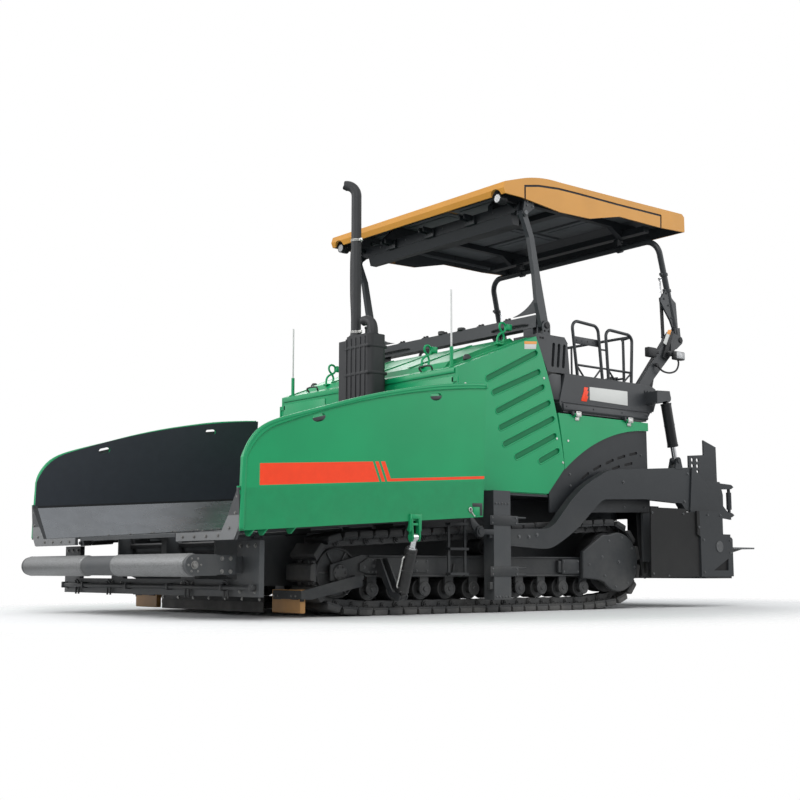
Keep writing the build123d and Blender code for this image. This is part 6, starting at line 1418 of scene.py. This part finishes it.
def inflate(pad, mesh, cap):
    # the cover swells under air pressure, and no point may leave by more than the cap
    before = [vertex.co.copy() for vertex in mesh.vertices]
    floor = min(point.z for point in before) + 0.004
    cloth = pad.modifiers.new("cloth", "CLOTH")
    settings = cloth.settings
    settings.use_pressure = True
    settings.uniform_pressure_force = 4
    settings.effector_weights.gravity = 0
    settings.tension_stiffness = 12
    settings.compression_stiffness = 12
    settings.bending_stiffness = 0.6
    settings.mass = 0.4
    cloth.point_cache.frame_start = 1
    cloth.point_cache.frame_end = 20
    for step in range(1, 21):
        bpy.context.scene.frame_set(step)
    mesh = bakeMesh(pad)
    for vertex, old in zip(mesh.vertices, before):
        move = vertex.co - old
        if move.length > cap:
            vertex.co = old + move * (cap / move.length)
        if old.z < floor:
            vertex.co.z = max(vertex.co.z, old.z)
    bpy.context.scene.frame_set(1)


def pullSeams(mesh, axis, lines, depth, width):
    # sewn channels: points near a seam line sink towards the pad's middle
    middle = sum((vertex.co for vertex in mesh.vertices), Vector()) / len(mesh.vertices)
    for vertex in mesh.vertices:
        pull = max(math.exp(-((vertex.co[axis] - place / 1000) / width) ** 2) for place in lines)
        vertex.co += (middle - vertex.co).normalized() * (pull * depth)


def makePad(name, rows, cap, axis, seams, depth):
    shape = bmesh.new()
    solid(shape, rows, 24, 4)
    mesh = bpy.data.meshes.new(name)
    shape.to_mesh(mesh)
    mesh.transform(Matrix.Diagonal((0.001, 0.001, 0.001, 1)))
    pad = bpy.data.objects.new(name, mesh)
    bpy.context.collection.objects.link(pad)
    remesh = pad.modifiers.new("remesh", "REMESH")
    remesh.mode = "VOXEL"
    remesh.voxel_size = 0.0075
    mesh = bakeMesh(pad)
    inflate(pad, mesh, cap)
    pullSeams(pad.data, axis, seams, depth, 0.008)
    pad.modifiers.new("round", "SUBSURF").levels = 1
    mesh = bakeMesh(pad)
    mesh.shade_smooth()
    mesh.materials.clear()
    mesh.materials.append(looks["seatVinyl"])
    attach(pad, "tractor")
    return pad


def makeSeats(facts):
    pads = []
    for tag, y in (("left", facts["y"]), ("right", -facts["y"])):
        x, hx, hy, half = facts["x"], facts["halfX"], facts["halfY"], facts["half"]
        low = [(x - hx, y - hy), (x + hx, y - hy), (x + hx, y + hy), (x - hx, y + hy)]
        rows = [[(a, b, level) for a, b in low] for level in (facts["base"], facts["base"] + facts["thick"])]
        pads.append(makePad("seat_pad_" + tag, rows, 0.024, 0, facts["seatSeams"], 0.010))
        rows = [[(front, y - half, z), (front, y + half, z), (rear, y + half, z), (rear, y - half, z)]
                for front, rear, z in (facts["backFoot"], facts["backHead"])]
        pads.append(makePad("seat_back_" + tag, rows, 0.022, 1, [y + seam for seam in facts["backSeams"]],
                            0.009))
    for pad in pads:
        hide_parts("seat_cushions")


makeSeats(seatTrim)
pipingPath = ((-190, -176), (-190, 176), (-150, 216), (140, 216), (190, 166), (190, -166), (140, -216),
              (-150, -216), (-190, -176))
# piping round each seat and the bellows of its suspension
dress("seat_piping", "gripBlack", [
    (pipe, [(-1404 + a, y + b, 1901) for a, b in pipingPath], 5, 8, 4) for y in (820, -820)
], [
    (ring, (-1420, 820, 1790 + k * 18), up, 72 + k % 2 * 10, 9, 36, 8) for k in range(5)
], slot="seat_cover")
dress("armrests", "mouldedBlack", [
    (rod, (-1230, y, 1866), (-1190, y, 1866), 7, 12, 2) for y in (940, -700)
], [
    *[(pipe, [(-1640, y, 2130), (-1600, edge, 2132), (-1440, edge, 2126)], 10, 10, 4)
      for y, edge in ((606, 604), (1034, 1036))],
    *[(block, (-1600, y - 19, 2122), (-1380, y + 19, 2148), 9, 3) for y in (604, 1036)],
    *[(block, (-1600, y - 12, 1872), (-1260, y + 12, 1880), 3) for y in (640, 1000)],
], slot="dark_plastic")
print("seats")

# tracks: a shoe, two links and a pin for each pitch of the loop, inside the same envelope

trackTrim = {
    "wheels": ((1560, 200.3, 120.3), (1870, 330, 230), (-1250, 425, 313.4), (-870, 200.3, 120.3)),
    "pitch": 150, "middle": 1090, "half": 160, "spread": 48,
}


def hullAround(wheels):
    points = sorted({(round(x + r * math.cos(k * math.pi / 90), 3),
                      round(z + r * math.sin(k * math.pi / 90), 3))
                     for x, z, r in wheels for k in range(180)})

    def half(run):
        kept = []
        for p in run:
            while len(kept) > 1 and ((kept[-1][0] - kept[-2][0]) * (p[1] - kept[-2][1])
                                     - (kept[-1][1] - kept[-2][1]) * (p[0] - kept[-2][0])) <= 0:
                kept.pop()
            kept.append(p)
        return kept[:-1]

    return half(points) + half(points[::-1])


def chainPins(facts):
    # pins an even step apart round the loop of the wheels
    loop = [Vector(point) for point in hullAround(facts["wheels"])]
    loop.append(loop[0])
    lengths = [(b - a).length for a, b in zip(loop, loop[1:])]
    count = round(sum(lengths) / facts["pitch"])
    step = sum(lengths) / count
    pins, gone, k = [], 0, 0
    for n in range(count):
        while gone + lengths[k] < n * step:
            gone += lengths[k]
            k += 1
        pins.append(loop[k].lerp(loop[k + 1], (n * step - gone) / lengths[k]))
    return pins


def addPitch(shoes, pads, links, pin, after, shift, facts):
    # one shoe with its pad and bolts, its two links and its pin
    mid, half, spread = facts["middle"], facts["half"], facts["spread"]
    along = (after - pin).normalized()
    out = Vector((along.y, -along.x))
    reach = (after - pin).length

    def at(*pairs):
        return [tuple(pin + along * a + out * b) for a, b in pairs]

    plate(shoes, at((2, 20), (reach - 12, 20), (reach - 4, 26), (reach - 4, 40), (2, 40)), (0, mid, 0),
          2 * half - 12, 1.5, 1)
    plate(pads, at((9, 38), (reach - 9, 38), (reach - 12, 68), (reach - 20, 79.5), (20, 79.5), (12, 68)),
          (0, mid, 0), 2 * half, 5)
    eyes = [[(middle + 34 * math.cos(math.pi * (start - j / 5)), 34 * math.sin(math.pi * (start - j / 5)))
             for j in range(6)] for middle, start in ((0, 1.5), (reach, 0.5))]
    # a link bows inwards, towards the rollers, between its two eyes
    body = at(*eyes[0], (reach * 0.35, 30), (reach * 0.65, 30), *eyes[1], (reach * 0.6, -30),
              (reach * 0.4, -30))
    for side in (-1, 1):
        for (x0, z0), (x1, z1) in (at((38, 10), (38, 22)), at((reach - 38, 10), (reach - 38, 22))):
            rod(shoes, (x0, mid + side * 96, z0), (x1, mid + side * 96, z1), 11, 6, 1)
        plate(links, body, (0, mid + side * (spread + shift), 0), 34, 0)
    for length, radius, sides, soft in ((spread + 34, 21, 14, 3), (spread + 42, 10, 10, 1)):
        rod(links, (pin.x, mid - length, pin.y), (pin.x, mid + length, pin.y), radius, sides, soft)


def makeTracks(facts):
    pins = chainPins(facts)
    shoes, pads, links = bmesh.new(), bmesh.new(), bmesh.new()
    for k, pin in enumerate(pins):
        addPitch(shoes, pads, links, pin, pins[(k + 1) % len(pins)], 5 if k % 2 else -5, facts)
    for name, shape, look, slot, angle in (("track_shoes", shoes, "trackSteel", "cast_steel", 32),
                                           ("track_pads", pads, "padRubber", "apron_rubber", 40),
                                           ("track_links", links, "linkSteel", "cast_steel", 40)):
        for side in ("left", "right"):
            piece = makePiece(f"{name}_{side}", shape, look, "tractor", slot, angle, side == "right")
            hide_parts("track_" + side)


makeTracks(trackTrim)
print("tracks")


def spoke(angle):
    corners = ((78, -0.09), (176, -0.05), (176, 0.05), (78, 0.09))
    return [(reach * math.cos(angle + turn), reach * math.sin(angle + turn)) for reach, turn in corners]


rollers = [1560 - 270 * k for k in range(10)]
dress("run_rollers", "linkSteel", (), [
    # end cap of a roller's axle and the flanges of its rim
    *[(rod, (x, 1221, 200), (x, 1234, 200), 60, 32, 5) for x in rollers],
    *[(ring, (x, 1233, 200), across, 44, 4, 32, 8) for x in rollers],
    *[(rod, (x, 1231, 200), (x, 1241, 200), 20, 20, 3) for x in rollers],
    *[(ring, (x, y, 200), across, 80, 6, 32, 8) for x in rollers for y in (1010, 1170)],
    *[(ring, (1870, y, 330), across, 186, 9, 64, 8) for y in (1006, 1174)],
    (rod, (1870, 1180, 330), (1870, 1231, 330), 66, 40, 6),
    (bolts, circle((1870, 1231, 330), 46, 6), across, 8),
    *[(plate, spoke(k * math.pi / 3), (1870, 1174, 330), 12, 2) for k in range(6)],
], slot="cast_steel", angle=40)
# flanges along the beam, adjuster housing, step plates and lugs
dress("beam_trim", "frameGrey", (), [
    (block, (-940, 1216, 298), (1640, 1244, 312), 3),
    (block, (-880, 1216, 452), (1600, 1236, 466), 3),
    (plate, [(1400, 322), (1400, 442), (1610, 442), (1690, 400), (1690, 344), (1610, 322)], (0, 1228, 0), 16,
     3),
    (plate, [(980, 330), (980, 436), (1240, 436), (1240, 330)], (0, 1226, 0), 12, 4),
    (block, (-780, 1216, 318), (-560, 1262, 446), 6),
    (block, (-560, 1216, 330), (-520, 1252, 434), 4),
    *[(plate, [(-30, 310), (30, 310), (10, 400), (-10, 400)], (x, 1228, 0), 14, 2) for x in (100, 700)],
    (rod, (300, 1150, 556), (300, 1236, 556), 34, 24, 4),
    (block, (270, 1214, 460), (330, 1234, 560), 4),
])
dress("beam_bolts", "boltDark", (), [
    (bolts, [(x, 1236, z) for x in range(1420, 1610, 36) for z in (336, 428)], across, 6),
    (bolts, spots(1236, (1648, 372), (1500, 382), (1450, 382), (1550, 382)), across, 10),
    (bolts, spots(1232, (1000, 346), (1000, 420), (1220, 346), (1220, 420), (1110, 420), (1110, 346)),
     across, 7),
    (bolts, spots(1262, (-760, 338), (-760, 426), (-580, 338), (-580, 426)), across, 7),
])
print("running gear")

# beads of the wings' rims, ends and ports of the cylinders

rimPath = ((3054, 627), (3049, 829), (3041, 1032), (3028, 1155), (2972, 1255), (2892, 1329), (2770, 1387),
           (2560, 1453), (2386, 1503), (2115, 1584), (1833, 1657), (1540, 1719), (1235, 1774), (916, 1811),
           (752, 1824))
dress("wing_rims", "rimGreen", [
    (pipe, [(x, 1671, z + 1) for x, z in rimPath], 17, 16, 4),
    (block, (744, 1660, 1808), (764, 1690, 1842), 5),
], body="wing", slot="green_paint", angle=60, pair=True)
print("wing rims")

cylinders = {
    "wing": {"low": (1470, 1470, 150), "high": (1500, 1656, 596), "radius": 46, "ends": (42, 392),
             "out": (1, 0, 0)},
    "lift": {"low": (-1930, 1360, 1985), "high": (-2060, 1360, 1392), "radius": 50, "ends": (48, 470),
             "out": (-1, 0, 0)},
    "strut": {"low": (-2220, 1130, 2620), "high": (-2195, 1130, 3240), "radius": 18, "ends": (24, 430)},
}


def dressCylinder(steel, pipes, facts, side):
    # glands and end caps, then the ports and the pipe clamped between them
    low, high = [Vector(flipped(facts[end], side)) for end in ("low", "high")]
    way = (high - low).normalized()
    r, (first, last) = facts["radius"], facts["ends"]
    for start, end, more in ((first - 1, first + 16, 3), (last - 24, last + 1, 3),
                             (last - 40, last - 30, 2)):
        rod(steel, low + way * start, low + way * end, r + more, 36, 2)
    if "out" not in facts:
        return
    out = Vector(facts["out"])
    out = (out - way * out.dot(way)).normalized()
    ports = [low + way * (last - 62), low + way * (first + 34)]
    for port in ports:
        rod(steel, port + out * (r - 4), port + out * (r + 12), 15, 6, 2)
    bends = ((0, 8, 0), (0, 20, -18), (0, 18, -60), (1, 18, 60), (1, 20, 18), (1, 8, 0))
    pipe(pipes, [ports[port] + out * (r + lift) + way * shift for port, lift, shift in bends], 6.5, 10, 4)
    middle = low + way * ((first + last) / 2)
    rod(steel, middle - way * 9, middle + way * 9, r + 2, 36, 1)
    rod(steel, middle + out * (r - 2) - way * 9, middle + out * (r - 2) + way * 9, 17, 12, 3)


def makeCylinderTrim(facts):
    steel, pipes = bmesh.new(), bmesh.new()
    dressCylinder(steel, pipes, facts["wing"], 1)
    makePair("wing_glands", steel, "cylinderBlack", "wing_barrel", "cylinder_paint")
    makePair("wing_pipes", pipes, "latchSteel", "wing_barrel", "cylinder_paint")
    for name in ("lift", "strut"):
        steel, pipes = bmesh.new(), bmesh.new()
        for side in (1, -1):
            dressCylinder(steel, pipes, facts[name], side)
        makePiece(name + "_glands", steel, "cylinderBlack", name + "_barrels", "cylinder_paint")
        if len(pipes.verts):
            makePiece(name + "_pipes", pipes, "gripBlack", name + "_barrels", "cylinder_paint")


makeCylinderTrim(cylinders)
print("cylinder trim")

# rear of the tractor: hatches in the rear wall, guards behind the tracks, hopper edges

dress("rear_hatches", "panelGrey", [
    (block, (-1784, -1004, 1742), (-1768, 1004, 1772), 4),
    (block, (-1782, -1004, 1010), (-1768, 1004, 1034), 4),
    *[(block, (-1781, y, 1034), (-1768, y + 28, 1742), 3) for y in (-1004, -14, 976)],
], [
    (block, (-1779, 60, 1090), (-1768, 900, 1660), 5),
    *[(plate, [(-1778, 0), (-1787, -3), (-1787, -12), (-1778, 12)], (0, 480, z), 520, 1.5)
      for z in range(1200, 1480, 34)],
], slot="grey_paint")
dress("hatch_fittings", "boltDark", [
    (bolts, [(x, y, z) for x, z in ((-1784, 1757), (-1782, 1022)) for y in range(-960, 961, 160)],
     (-1, 0, 0), 7),
], [
    *[(rod, (-1784, 904, z - 34), (-1784, 904, z + 34), 8, 16, 2) for z in (1180, 1570)],
    *[(block, (-1782, 856, z - 26), (-1777, 930, z + 26), 1.5) for z in (1180, 1570)],
    (pipe, [(-1778, 106, 1420), (-1810, 106, 1414), (-1810, 106, 1306), (-1778, 106, 1300)], 8, 12, 3),
    (bolts, [(-1779, y, z) for y in (80, 880) for z in (1110, 1640)], (-1, 0, 0), 7),
])
dress("track_guards", "deepGrey", (), [
    (plate, [(-1768, 300), (-1768, 1004), (-1652, 1004), (-1652, 860), (-1660, 640), (-1700, 380),
             (-1716, 300)],
     (0, 1204, 0), 8, 2),
    (block, (-1766, 1202, 320), (-1752, 1230, 1000), 3),
    (block, (-1768, 1000, 300), (-1760, 1204, 1004), 2),
])
# angle strip on the hopper's rear wall and its stiffeners, seen over the wings
dress("hopper_strips", "deepGrey", [
    (block, (727, -1590, 1458), (741, 1590, 1482), 3),
    (bolts, [(731, y, 1400) for y in range(-700, 701, 140)], ahead, 7),
], [
    (bar, [(727, 1180, 1470), (727, 1196, 1470), (727, 1196, 820), (727, 1180, 820)], 9, 1.5),
    (bolts, [(741, y, 1470) for y in (300, 620, 940, 1300, 1540)], ahead, 8),
])
# bolts of the conveyor's wear strips and chain guards
dress("floor_bolts", "boltZinc", (), [
    (bolts, [(x, y, floorHeight(x) + lift) for x in range(1000, 2900, 200)], up, radius)
    for y, lift, radius in ((752, 3, 8), (14, 7, 7))
], slot="roller_steel")
# screed body: deck ribs, crank boxes and pipes along its front beam
dress("screed_ribs", "screedGrey", (), [
    *[(plate, [(-2350, 700), (-2350, 714), (-2480, 722), (-2770, 712), (-2780, 700)], (0, y, 0), 10, 2)
      for y in (240, 620, 1000)],
    *[(block, (-2700, y, 698), (-2520, y + width, 720), 7) for y, width in ((300, 260), (700, 240))],
    (pipe, [(-2400, 60, 712), (-2402, 700, 716), (-2400, 1390, 712)], 10, 10, 3),
    *[(block, (-2416, y - 12, 698), (-2384, y + 12, 716), 3) for y in (120, 420, 760, 1100, 1340)],
], body="screed")
print("rear wall, guards and screed")
